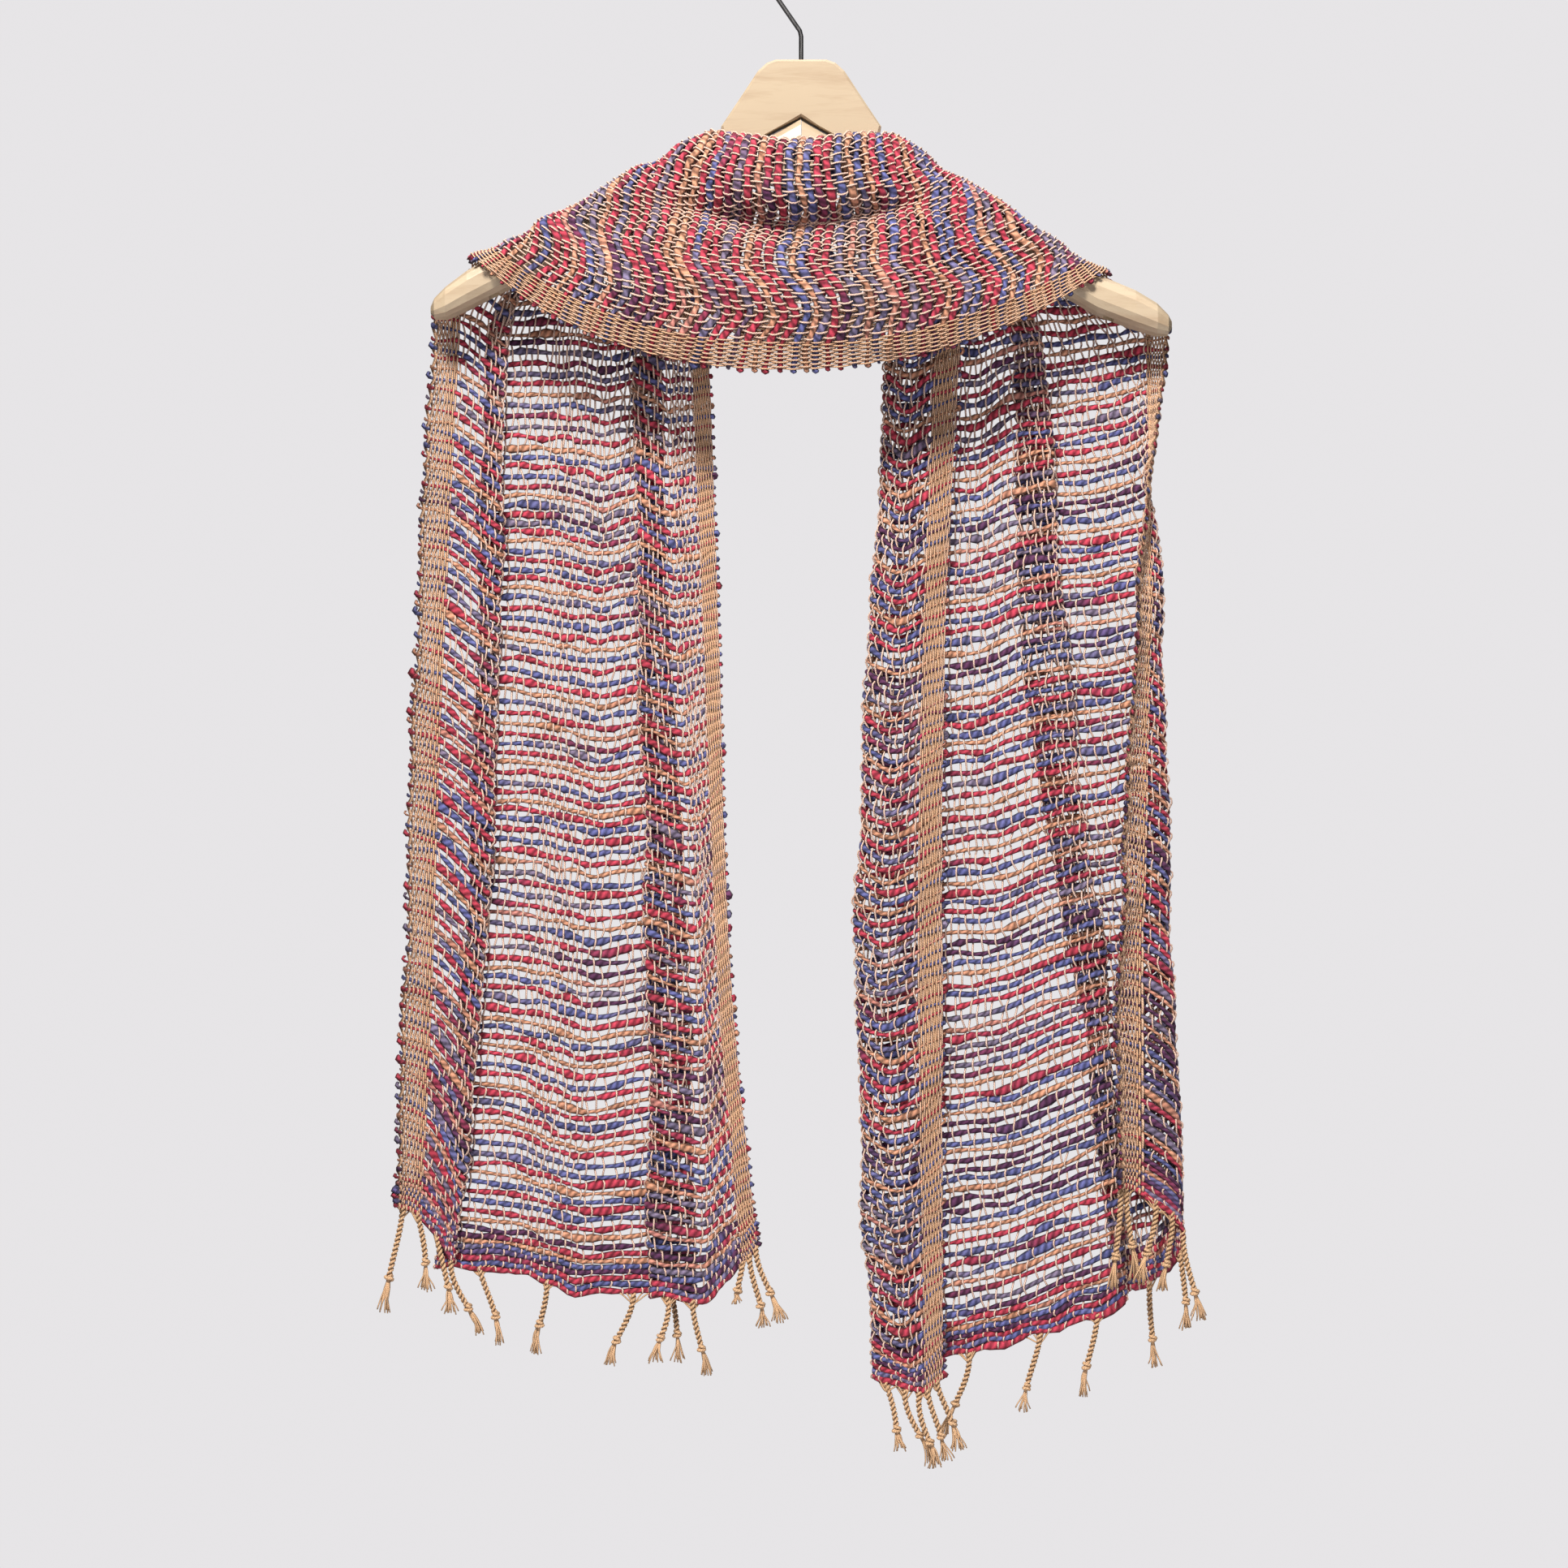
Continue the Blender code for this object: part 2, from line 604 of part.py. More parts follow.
def main():
    for thing in list(bpy.data.objects):
        bpy.data.objects.remove(thing, do_unlink=True)
    materials = {name: make_material(name) for name in MATERIALS}

    build_crown(materials["wood"])
    build_arm("hanger_arm_left", -1, materials["wood"])
    build_arm("hanger_arm_right", 1, materials["wood"])
    new_object("hanger_hook", ring_mesh(tube_rings(hook_path(), HOOK_WIRE, HOOK_SIDES)), materials["steel"])

    shares = SWAG_SHARES.copy()
    shares[0], shares[-1] = SEAM_GAP / SWAG_LENGTH, 1.0 - SEAM_GAP / SWAG_LENGTH
    swag = swag_grid(shares)[0]
    swag_normals = grid_normals(swag)
    for name, side in (("shawl_tail_left", -1), ("shawl_tail_right", 1)):
        tail = tail_grid(side, TAIL_SHARES)[0]
        normals = grid_normals(tail)
        new_object(name, wall_mesh(tail, normals, WALL), materials["cloth"])
        # The stretches meet with their walls in line.
        swag_normals[:, 0 if side < 0 else -1] = -normals[:, 0] if side < 0 else normals[:, 0]
    new_object("shawl_front_swag", wall_mesh(swag, swag_normals, WALL), materials["cloth"])
    build_tassels("fringe_left", -1, LEFT_TASSELS, materials["fringe"])
    build_tassels("fringe_right", 1, RIGHT_TASSELS, materials["fringe"])


main()
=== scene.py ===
import functools
import math

import bpy
import numpy as np
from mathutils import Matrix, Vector


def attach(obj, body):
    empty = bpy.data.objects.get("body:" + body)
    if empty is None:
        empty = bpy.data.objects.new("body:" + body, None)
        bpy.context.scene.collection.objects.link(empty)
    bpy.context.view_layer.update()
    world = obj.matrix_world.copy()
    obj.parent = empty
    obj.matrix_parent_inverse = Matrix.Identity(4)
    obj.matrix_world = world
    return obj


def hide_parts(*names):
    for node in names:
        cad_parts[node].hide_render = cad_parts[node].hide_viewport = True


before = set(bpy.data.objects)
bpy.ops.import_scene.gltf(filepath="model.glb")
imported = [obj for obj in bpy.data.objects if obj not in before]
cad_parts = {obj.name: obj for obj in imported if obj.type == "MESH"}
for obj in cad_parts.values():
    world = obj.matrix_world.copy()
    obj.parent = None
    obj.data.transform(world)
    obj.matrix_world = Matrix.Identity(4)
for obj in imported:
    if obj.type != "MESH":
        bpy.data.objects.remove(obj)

bl_info = {
    "name": "Rebozo shawl",
    "version": (1, 0, 0),
    "blender": (4, 5, 0),
    "location": "3D View > Sidebar > Rebozo",
    "description": "Weaves the shawl over its hanger, knots its fringe and sets the studio",
    "category": "Add Mesh",
}

MM = 0.001


def table(columns, rows):
    """Rows of numbers as columns that are found by name."""
    return dict(zip(columns.split(), np.array(rows, dtype=float).T))


# The cloth's own sizes, as in the CAD: flat width, clearance over the wood and softness of folds.
CLOTH_WIDTH = 300
ARM_CLEARANCE = 4.0
FOLD_SOFTNESS = 4.0
DRAPE_SOFTNESS = 60.0
WRAP_SMOOTHING = 5

# Hanger arms, from the middle seam outwards.
ARM = table("x left_top right_top height width sweep", (
    (0.2, -112, -113, 34, 18, 0),
    (12, -119, -120, 31, 18, 0),
    (27, -127, -128, 27, 18, -0.5),
    (60, -141, -144, 23, 18, -2),
    (100, -158, -164, 22, 20, -4),
    (140, -175, -187, 23, 24, -7),
    (180, -194, -209, 25, 29, -10),
    (203, -207, -219, 24, 31, -12),
    (216, -217, -227, 20, 29, -13),
    (223, -224, -234, 13, 21, -13.5),
    (225.5, -229, -238, 5, 9, -13.5),
))

# Where the folds of each hanging end cross the top of the arm: distance across the cloth, place
# along the arm, and height above the wood.
CREST_COLUMNS = "u x lift"
LEFT_CREST = table(CREST_COLUMNS, (
    (0, -200, 1), (17, -188, 1), (47, -166, 1), (53, -161, 1), (62, -155, 2), (68, -150, 4),
    (100, -124, 6), (144, -88, 12), (180, -52, 14), (192, -52, 7), (286, -104, 6), (291, -104, 0.5),
    (294, -101, 0.5), (297, -98, 0.5), (300, -95, 0.5),
))
RIGHT_CREST = table(CREST_COLUMNS, (
    (0, 187, 1), (17, 175, 1), (26, 168, 1), (33, 163, 1), (58, 145, 2), (92, 115, 9), (98, 110, 9),
    (113, 98, 9), (119, 93, 9), (150, 74, 13), (180, 54, 15), (192, 53, 4), (230, 82, 2),
    (265, 108, 1), (300, 134, 1),
))

# Front swag, line by line: depth and height at the middle, and how sharply the line sags to each
# side.
SWAG = table("u y z left_power right_power", (
    (0, -48, -271, 2.5, 2.0),
    (17, -53, -255, 2.4, 2.0),
    (50, -60, -226, 2.3, 2.0),
    (85, -52, -197, 2.1, 2.0),
    (100, -37, -187, 2.0, 2.0),
    (110, -31, -181, 2.0, 2.0),
    (120, -41, -177, 2.0, 2.0),
    (132, -51, -168, 2.0, 2.0),
    (150, -50, -154, 2.0, 2.0),
    (168, -46, -138, 2.0, 2.0),
    (182, -36, -128, 2.0, 2.0),
    (189, -30, -128, 2.0, 2.0),
    (200, -25, -139, 2.0, 2.0),
    (300, -22, -253, 3.2, 2.4),
))

# Hanging ends, fold by fold from the outer edge inwards: how far the fold stands behind the arm,
# its place across the front at five stations, and how far the weave hangs lower there at the top
# and at the hem. The stations lie at set falls below the inside of the hook.
TAIL_COLUMNS = "u depth x1 x2 x3 x4 x5 top_drop hem_drop"
STATIONS = ("x1", "x2", "x3", "x4", "x5")
STATION_FALLS = (260.0, 390.0, 515.0, 640.0, 765.0)
LEFT_TOP = -232
LEFT_HEM = -781
LEFT_TAIL = table(TAIL_COLUMNS, (
    (0, 4, -227, -234, -240, -242, -248, 0, 0),
    (17, 2, -211, -218, -224, -226, -232, 1, 6),
    (47, 0, -180, -183, -185, -192, -206, 14, 39),
    (53, 6, -180, -183, -185, -192, -206, 14, 40),
    (62, 7, -197, -200, -203, -209, -222, 14, 40),
    (68, 13, -197, -200, -203, -209, -222, 13, 39),
    (100, 13, -155, -159, -161, -165, -173, 13, 40),
    (144, 10, -121, -124, -125, -130, -135, 22, 57),
    (190, 15, -86, -84, -75, -66, -64, 16, 57),
    (196, 9, -86, -84, -75, -66, -64, 16, 57),
    (214, 8, -104, -102, -99, -96, -96, 15, 55),
    (220, 2, -104, -102, -99, -96, -96, 15, 55),
    (248, -1, -82, -79, -70, -60, -59, 24, 61),
    (283, 3, -68, -62, -57, -54, -42, 24, 36),
    (300, 4, -57, -52, -49, -46, -32, 22, 26),
))
RIGHT_TOP = -242
RIGHT_HEM = -794
RIGHT_TAIL = table(TAIL_COLUMNS, (
    (0, 3, 222, 206, 200, 193, 194, 0, -24),
    (17, 2, 213, 218, 213, 208, 208, 1, -22),
    (26, 3, 207, 226, 228, 231, 238, 2, -4),
    (33, 9, 203, 226, 228, 231, 238, 3, 12),
    (58, 14, 172, 185, 191, 206, 217, 5, 34),
    (92, 21, 131, 128, 140, 172, 187, 8, 46),
    (98, 15, 131, 128, 140, 172, 187, 8, 47),
    (113, 14, 152, 163, 173, 193, 199, 9, 48),
    (119, 7, 152, 163, 173, 193, 199, 9, 49),
    (170, 14, 105, 105, 110, 120, 124, 8, 76),
    (243, 13, 52, 43, 34, 30, 36, 14, 94),
    (249, 7, 52, 43, 34, 30, 36, 14, 94),
    (268, 2, 66, 60, 56, 46, 56, 24, 104),
    (283, 0, 82, 76, 72, 72, 74, 16, 103),
    (300, 2, 97, 89, 86, 87, 87, 12, 93),
))

# Tassels at each hem: place of the root across the width, sideways and forward swing of the free
# end, and length.
TASSEL_COLUMNS = ("u", "swing", "forward", "length")
LEFT_TASSELS = (
    (4, -11, -4, 58), (14, 7, -2, 42), (30, 9, -3, 41), (44, 16, 0, 40), (86, 14, -2, 42),
    (122, -8, 3, 40), (165, -14, 0, 38), (180, 5, -3, 36), (230, -6, -3, 34), (242, 8, 0, 40),
    (284, -4, -2, 20), (291, 9, 2, 40), (298, 14, -3, 40),
)
RIGHT_TASSELS = (
    (2, -4, -3, 56), (7, 5, -2, 50), (20, -9, -7, 44), (24, -5, -2, 42), (30, 9, -3, 48),
    (40, 4, 2, 42), (66, 3, 2, 48), (132, -9, 2, 45), (156, -11, 0, 42), (190, -14, 2, 46),
    (256, 10, -3, 36), (266, 14, 0, 40), (278, 8, -4, 40), (285, 12, 2, 38), (294, 14, -2, 36),
)
# Depth of the hem strip, how far above it the warp ends are gathered and from where on each side,
# and how far the top of a cord is sunk among them.
STRIP_DEPTH = 3.5
GATHER_ABOVE = 3.0
GATHERED = (-5.5, -3.5, -1.5, 1.5, 3.5, 5.5)
CORD_SUNK = 3.0
# Points along a cord are this far apart, and half a ply is this share of the cord's width.
CORD_STEP = 0.7
PLY_HALF = 0.26
# The knot: its height and its turns.
KNOT_HEIGHT = 2.6
KNOT_TURNS = 2.4
# The tuft under a knot: how far its ends spread sideways and forward, and half their thickness.
TUFT_SPREAD = (2.6, 1.4)
TUFT_END_HALF = 0.6
TUFT_POINTS = 7

# Grid steps along each stretch of the surface, and grid lines beyond each edge of the cloth.
STEPS_A_STRETCH = 180
EDGE_LINES = 6
# Warps: the crowded bands at both edges, which are thicker and straighter, and the open body.
SELVEDGE_WIDTH = 17.0
SELVEDGE_WARPS = 13
EDGE_WARP_SIZE = 1.03
EDGE_CALM = 0.12
BODY_WARPS = 76
# Share of the body's warps that lies before each place across the cloth: denser in the pleats.
BODY_SHARES = (0.0, 0.06, 0.44, 1.0)
BODY_PLACES = (17.0, 34.0, 122.0, 283.0)
# Where a weft gets points between its warps, because a fold turns sharply there.
TIGHT_FOLDS = ((45, 72), (90, 99), (112, 121), (186, 200), (211, 223), (241, 251))
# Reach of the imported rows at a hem, and the first row's distance from the edge.
HEM_BAND = 36.0
END_ROW = 2.6
WEFT_SIDES = 6
WARP_SIDES = 4

# Small swells of the hanging cloth: wave length across and along it, phase and height.
SWELLS = (
    (74, 168, 0.4, 1.1), (41, 96, 2.1, 0.6), (118, 63, 4.0, 0.5), (29, 141, 1.2, 0.4),
)

# How each weft end turns back round the outer warp: distance out from the edge, step along the
# cloth where wefts are TURN_PITCH apart, thickness there against the rest of the yarn, and height.
END_TURN = table("out step swell height", (
    (0.3, 0.0, 1.0, 0.2), (1.3, 0.3, 1.4, 0.2), (1.9, 1.1, 1.55, 0.0), (1.3, 2.1, 1.4, -0.5),
    (0.2, 2.6, 0.8, -0.9),
))
TURN_PITCH = 6.4

# How much lower the wefts hang than the even weave, where folds pull them down or lift them:
# distance across the cloth, and the drop at the top and near the hem of each hanging end.
LEAN_COLUMNS = "u top low"
LEFT_LEAN = table(LEAN_COLUMNS, (
    (0, 0, 0), (17, 0, 0), (47, 8, 9), (60, 3, 3), (68, 0, -2), (85, -2, 0), (100, -1, 2),
    (115, -3, 1), (130, -5, 0), (144, -4, -3), (153, -6, -3), (175, -9, -7), (190, -10, -11),
    (220, -5, -8), (248, 0, -5), (262, -2, -2), (300, 0, 0),
))
RIGHT_LEAN = table(LEAN_COLUMNS, (
    (0, 0, 0), (33, 0, 0), (58, 3, 2), (92, 0, 0), (98, 0, 0), (119, -8, -6), (145, -4, -2),
    (165, 6, 1), (190, 4, 0), (243, 0, 0), (268, 2, 5), (285, -2, -4), (300, -3, -3),
))
# How far the wefts of the front swag are pulled to the right: its lower edge, with a crease above.
SWAG_LEAN = table("u right", (
    (0, 4), (17, 5), (34, 14), (60, 9), (85, 3), (105, 0), (300, 0),
))
LEAN_SOFTNESS = 3.0
SHOULDER_FADE = 60.0
SHOULDER_REACH = 110.0

# How much thicker the wefts are in the middle stretch and at the hems, how far each swells between
# its ties, the size of a slub, and the share left of a weft inside the crowded selvedges.
MIDDLE_SWELL = 0.5
HEM_SWELL = 0.4
TIE_SWELL = 0.12
SLUB_SIZE = 1.3
SQUEEZED = 0.65
# Least and greatest half thickness of a weft; how the soft yarn is pressed wide and flat; how far
# it bends at each warp.
WEFT_LIMITS = (0.45, 2.7)
WEFT_WIDE = 1.2
WEFT_THICK = 0.72
WEFT_THICKEST = 1.5
WEFT_BEND = 0.3
# Painted shade: how much darker the sides of each kind of thread are painted than its face.
WEFT_PAINTED_SHADE = 0.95
WARP_PAINTED_SHADE = 0.55
EDGE_PAINTED_SHADE = 0.85
CORD_PAINTED_SHADE = 0.65

# Order in which the dyed yarns are thrown, as short runs of the weave with how often each comes.
WEFT_RUNS = (
    (("peach", "red", "blue", "red", "blue"), 8),
    (("red", "peach", "red", "blue"), 7),
    (("peach", "red", "blue", "blue"), 3),
    (("peach", "plum", "plum", "blue"), 2),
    (("peach", "red", "grey", "red", "blue"), 2),
)
# The rows packed at each hem, from its edge inwards.
HEM_RUN = ("red", "blue", "red", "plum", "blue", "peach", "red", "plum")
FRONT_RUNS = (
    (("peach", "red", "blue", "red"), 6),
    (("red", "peach", "red", "blue", "blue"), 4),
    (("red", "red", "blue", "peach", "blue"), 4),
    (("red", "grey", "red", "peach"), 2),
)
# How each dyed yarn is spun: half its thickness, and what it shades into along its length.
YARN_COLUMNS = ("name", "half", "shade", "often")
YARNS = (
    ("red", 1.42, "plum", -0.55),
    ("blue", 1.38, "grey", -0.25),
    ("peach", 1.1, "rose", -0.5),
    ("plum", 1.3, "blue", -0.3),
    ("grey", 1.2, "plum", -0.3),
)
SPUN = {row[0]: dict(zip(YARN_COLUMNS, row)) for row in YARNS}

# Stretches that the cloth is woven in: name, the part of the surface from and to which it runs
# (whole numbers are the seams of the CAD's three stretches), and the node that it stands for.
LENGTHS = (
    ("cloth_left_lower", 0.0, 0.5, "shawl_tail_left"),
    ("cloth_left_upper", 0.5, 1.0, "shawl_tail_left"),
    ("cloth_front_left", 1.0, 1.5, "shawl_front_swag"),
    ("cloth_front_right", 1.5, 2.0, "shawl_front_swag"),
    ("cloth_right_upper", 2.0, 2.5, "shawl_tail_right"),
    ("cloth_right_lower", 2.5, 3.0, "shawl_tail_right"),
)

# The studio, in metres. The floor ends behind the cloth before the photograph's frame reaches it.
FLOOR_HEIGHT = -1.95
FLOOR_REACH = 6.0
FLOOR_BACK = 3.4
SURROUND_TINT = "#ECEAEC"
SURROUND_SEEN = 0.95
SURROUND_LIGHT = 0.05
# Soft round lights: place, size, power in watts and tint; all face the middle of the cloth.
LIT_PLACE = (0.0, 0.0, -0.45)
LIGHTS = (
    ("key_light", (-0.5, -2.0, 1.7), 0.8, 132.0, "#FFF8F0"),
    ("fill_light", (0.9, -2.6, -0.2), 1.6, 10.0, "#F8F6FF"),
    ("overhead_light", (0.0, 0.3, 2.9), 5.0, 90.0, "#FFFFFF"),
)
CAMERA_PLACE = (-0.0105, -2.27, -0.520)
CAMERA_LENS = 85.0
CAMERA_SENSOR = 36.0


def linear(code):
    """An sRGB hex colour as linear red, green and blue."""
    parts = [int(code[k:k + 2], 16) / 255.0 for k in (1, 3, 5)]
    return tuple(v / 12.92 if v <= 0.04045 else ((v + 0.055) / 1.055) ** 2.4 for v in parts)


# The surface that the cloth hangs in.


def soft_line(place, knots, values, softness):
    """Straight runs from knot to knot, their corners rounded off over the softness."""
    slopes = [(b - a) / (v - u) for a, b, u, v in zip(values, values[1:], knots, knots[1:])]
    line = values[0] + slopes[0] * (place - knots[0])
    for knot, before, after in zip(knots[1:], slopes, slopes[1:]):
        past = place - knot
        line = line + (after - before) * 0.5 * (past + np.sqrt(past * past + softness * softness))
    return line


def table_line(u, rows, name, softness=FOLD_SOFTNESS):
    return soft_line(u, rows["u"], rows[name], softness)


def arm_value(x, name):
    """A size of the arm at any place along it; the sides have their own top lines."""
    if name == "top":
        left, right = (np.interp(np.abs(x), ARM["x"], ARM[line]) for line in ("left_top", "right_top"))
        return np.where(x < 0, left, right)
    return np.interp(np.abs(x), ARM["x"], ARM[name])


def round_the_arm(x, z, lift):
    """How far in front of, or behind, the arm's middle a line stands that wraps round it."""
    below = arm_value(x, "top") + ARM_CLEARANCE + lift - z
    half = 0.5 * arm_value(x, "height") + ARM_CLEARANCE + lift
    turn = 1.0 - np.clip(below / half, 0.0, 1.0)
    return (0.5 * arm_value(x, "width") + ARM_CLEARANCE + lift) * np.sqrt(1.0 - turn * turn)


def tail_rows(side):
    return (LEFT_TAIL, LEFT_TOP, LEFT_HEM) if side < 0 else (RIGHT_TAIL, RIGHT_TOP, RIGHT_HEM)


def crest_rows(side):
    return LEFT_CREST if side < 0 else RIGHT_CREST


def tail_x(side, u, z):
    rows = tail_rows(side)[0]
    places = [table_line(u, rows, name) for name in STATIONS]
    return soft_line(-z, STATION_FALLS, places, DRAPE_SOFTNESS)


def tail_points(side, u, share):
    """Hanging end: share 0 is its top behind the arm, share 1 its hem."""
    rows, top, hem = tail_rows(side)
    high = top - table_line(u, rows, "top_drop")
    low = hem - table_line(u, rows, "hem_drop")
    z = high + share * (low - high)
    x = tail_x(side, u, z)
    start = tail_x(side, u, high)
    back = arm_value(start, "sweep") + 0.5 * arm_value(start, "width") + ARM_CLEARANCE
    y = np.full(len(z), back + table_line(u, rows, "depth"))
    return np.stack([x, y, z], axis=-1)


def folded_back(side, u, z, ease):
    """Place and lift of a line between the crest (ease 0) and the hanging end's top (ease 1)."""
    crest = {name: values[:, None] for name, values in crest_rows(side).items()}
    tail = {name: values[:, None] for name, values in tail_rows(side)[0].items()}
    hung = soft_line(-z, STATION_FALLS, [tail[name] for name in STATIONS], DRAPE_SOFTNESS)
    knots = crest["u"] + (tail["u"] - crest["u"]) * ease
    places = crest["x"] + (hung - crest["x"]) * ease
    lifts = crest["lift"] + (tail["depth"] - crest["lift"]) * ease
    return soft_line(u, knots, places, FOLD_SOFTNESS), soft_line(u, knots, lifts, FOLD_SOFTNESS)


def shoulder_path(side, u):
    """One lengthwise line from the top of a hanging end, over the arm, to the swag's middle."""
    rows, top, _ = tail_rows(side)
    crest_x = table_line(u, crest_rows(side), "x")
    crest_lift = table_line(u, crest_rows(side), "lift")
    crest_z = arm_value(crest_x, "top") + ARM_CLEARANCE + crest_lift
    # Behind the arm, from the top of the hanging end up to the crest.
    low = top - table_line(u, rows, "top_drop")
    rise = 1.0 - np.linspace(0.0, 1.0, 60) ** 2
    z = crest_z - (crest_z - low) * rise
    x, lift = folded_back(side, u, z, rise * rise * (3.0 - 2.0 * rise))
    y = arm_value(x, "sweep") + round_the_arm(x, z, lift)
    behind = np.stack([x, y, z], axis=-1)
    # In front of the arm, from the crest down to the middle.
    power = "left_power" if side < 0 else "right_power"
    middle_y = table_line(u, SWAG, "y")
    middle_z = table_line(u, SWAG, "z")
    spread = 1.0 - np.linspace(0.0, 1.0, 90)[1:] ** 2
    x = crest_x * spread
    z = middle_z + (crest_z - middle_z) * spread ** table_line(u, SWAG, power)
    wrapped = arm_value(x, "sweep") - round_the_arm(x, z, crest_lift)
    hung = middle_y + (arm_value(crest_x, "sweep") - middle_y) * spread ** 2.5
    y = 0.5 * (wrapped + hung - np.sqrt((wrapped - hung) ** 2 + 2.0))
    front = np.stack([x, y, z], axis=-1)
    return np.concatenate([behind, front])


def lengths_along(path):
    return np.concatenate([[0.0], np.cumsum(np.linalg.norm(np.diff(path, axis=0), axis=1))])


def at_places(path, run, places):
    return np.stack([np.interp(places, run, path[:, k]) for k in range(3)], axis=-1)


def swag_line(u, shares):
    """A whole lengthwise line of the middle stretch, from the left end's top to the right's."""
    left = shoulder_path(-1, u)
    right = shoulder_path(1, u)[::-1]
    path = np.concatenate([left, right[1:]])
    run = lengths_along(path)
    path = at_places(path, run, np.linspace(0.0, run[-1], 400))
    for _ in range(WRAP_SMOOTHING):
        path[1:-1] = 0.25 * path[:-2] + 0.5 * path[1:-1] + 0.25 * path[2:]
    run = lengths_along(path)
    return at_places(path, run, shares * run[-1])


@functools.cache
def cloth_surface():
    """The cloth from the left hem to the right hem: points and front-facing normals on a grid.

    Rows are lines a millimetre apart across the cloth, with a few beyond both edges. The last
    value is the mean distance along the cloth at each grid step, in millimetres.
    """
    across = [float(u) for u in range(CLOTH_WIDTH + 1)]
    shares = np.linspace(0.0, 1.0, STEPS_A_STRETCH + 1)
    left = np.array([tail_points(-1, u, shares) for u in across])[:, ::-1]
    front = np.array([swag_line(u, shares) for u in across])
    right = np.array([tail_points(1, u, shares) for u in across])
    grid = np.concatenate([left, front[:, 1:], right[:, 1:]], axis=1)
    grid[:, 1:-1] = 0.25 * grid[:, :-2] + 0.5 * grid[:, 1:-1] + 0.25 * grid[:, 2:]
    before = [grid[0] + (grid[0] - grid[3]) * k / 3.0 for k in range(EDGE_LINES, 0, -1)]
    after = [grid[-1] + (grid[-1] - grid[-4]) * k / 3.0 for k in range(1, EDGE_LINES + 1)]
    grid = np.concatenate([before, grid, after])
    normal = np.cross(np.gradient(grid, axis=0), np.gradient(grid, axis=1))
    normal /= np.linalg.norm(normal, axis=2, keepdims=True)
    run = np.mean([lengths_along(line) for line in grid[EDGE_LINES:-EDGE_LINES]], axis=0)
    u = np.arange(len(grid))[:, None] - EDGE_LINES
    for wide, long, phase, height in SWELLS:
        turn = 2.0 * math.pi * (u / wide + run[None] / long) + phase
        grid = grid + normal * (height * np.sin(turn))[..., None]
    return grid, normal, run


def on_cloth(u, run):
    """Points and normals of the surface at any distance across and along, in millimetres."""
    grid, normal, runs = cloth_surface()
    both = np.concatenate([grid, normal], axis=2)
    i = np.clip(u + EDGE_LINES, 0.0, len(grid) - 1.001)
    j = np.clip(np.interp(run, runs, np.arange(len(runs))), 0.0, len(runs) - 1.001)
    i0, j0 = i.astype(int), j.astype(int)
    fi, fj = (i - i0)[..., None], (j - j0)[..., None]
    low = both[i0, j0] * (1.0 - fj) + both[i0, j0 + 1] * fj
    high = both[i0 + 1, j0] * (1.0 - fj) + both[i0 + 1, j0 + 1] * fj
    found = low * (1.0 - fi) + high * fi
    return found[..., :3], found[..., 3:]


# Yarns and the plan that they are woven to.


def wander(seed, across, along, waves=6):
    """Smooth random swings over a surface, about as often up as down."""
    rng = np.random.default_rng(seed)
    total = 0.0
    for _ in range(waves):
        way = rng.uniform(0.0, 2.0 * math.pi)
        size, phase = rng.uniform(0.5, 1.5), rng.uniform(0.0, 6.3)
        along_way = across * math.cos(way) + along * math.sin(way)
        total = total + np.sin(2.0 * math.pi * size * along_way + phase)
    return total / math.sqrt(0.5 * waves)


def along_each(seed, count, places, wave, waves=4):
    """Smooth random swings along each of several yarns, every yarn with its own."""
    rng = np.random.default_rng(seed)
    total = 0.0
    for _ in range(waves):
        phase = rng.uniform(0.0, 6.3, (count, 1))
        size = rng.uniform(0.6, 1.6, (count, 1))
        total = total + np.sin(2.0 * math.pi * size * places / wave + phase)
    return total / math.sqrt(0.5 * waves)


def smooth(value):
    value = np.clip(value, 0.0, 1.0)
    return value * value * (3.0 - 2.0 * value)


def warp_places():
    """Distance across the cloth of every warp thread: crowded selvedges, open body."""
    band = (np.arange(SELVEDGE_WARPS) + 0.5) * SELVEDGE_WIDTH / SELVEDGE_WARPS
    share = np.linspace(0.0, 1.0, BODY_WARPS + 1)
    body = np.interp(share, BODY_SHARES, BODY_PLACES)
    body = 0.5 * (body[1:] + body[:-1])
    rng = np.random.default_rng(21)
    body = body + rng.uniform(-0.45, 0.45, BODY_WARPS)
    return np.concatenate([band, body, CLOTH_WIDTH - band[::-1]])


def weft_places(total, pitch, hem_pitch):
    """Distance along the cloth of every weft: even in the body, packed at both hems."""
    rng = np.random.default_rng(33)
    places = []
    place = END_ROW
    while place < total - END_ROW:
        places.append(place)
        edge = min(place, total - place)
        opened = float(smooth((edge - 0.4 * HEM_BAND) / (0.6 * HEM_BAND)))
        step = hem_pitch + (pitch - hem_pitch) * opened
        place += step * (1.0 + rng.uniform(-0.2, 0.2))
    return np.array(places)


def weft_order(middle):
    """Names of the dyed yarns in the order they are thrown, redder where the middle share is high."""
    rng = np.random.default_rng(5)
    ends = [run for run, often in WEFT_RUNS for _ in range(often)]
    front = [run for run, often in FRONT_RUNS for _ in range(often)]
    order = []
    while len(order) < len(middle):
        runs = front if middle[len(order)] > 0.3 else ends
        order.extend(runs[rng.integers(len(runs))])
    order = order[:len(middle)]
    order[:len(HEM_RUN)] = HEM_RUN
    order[-len(HEM_RUN):] = HEM_RUN[::-1]
    return order


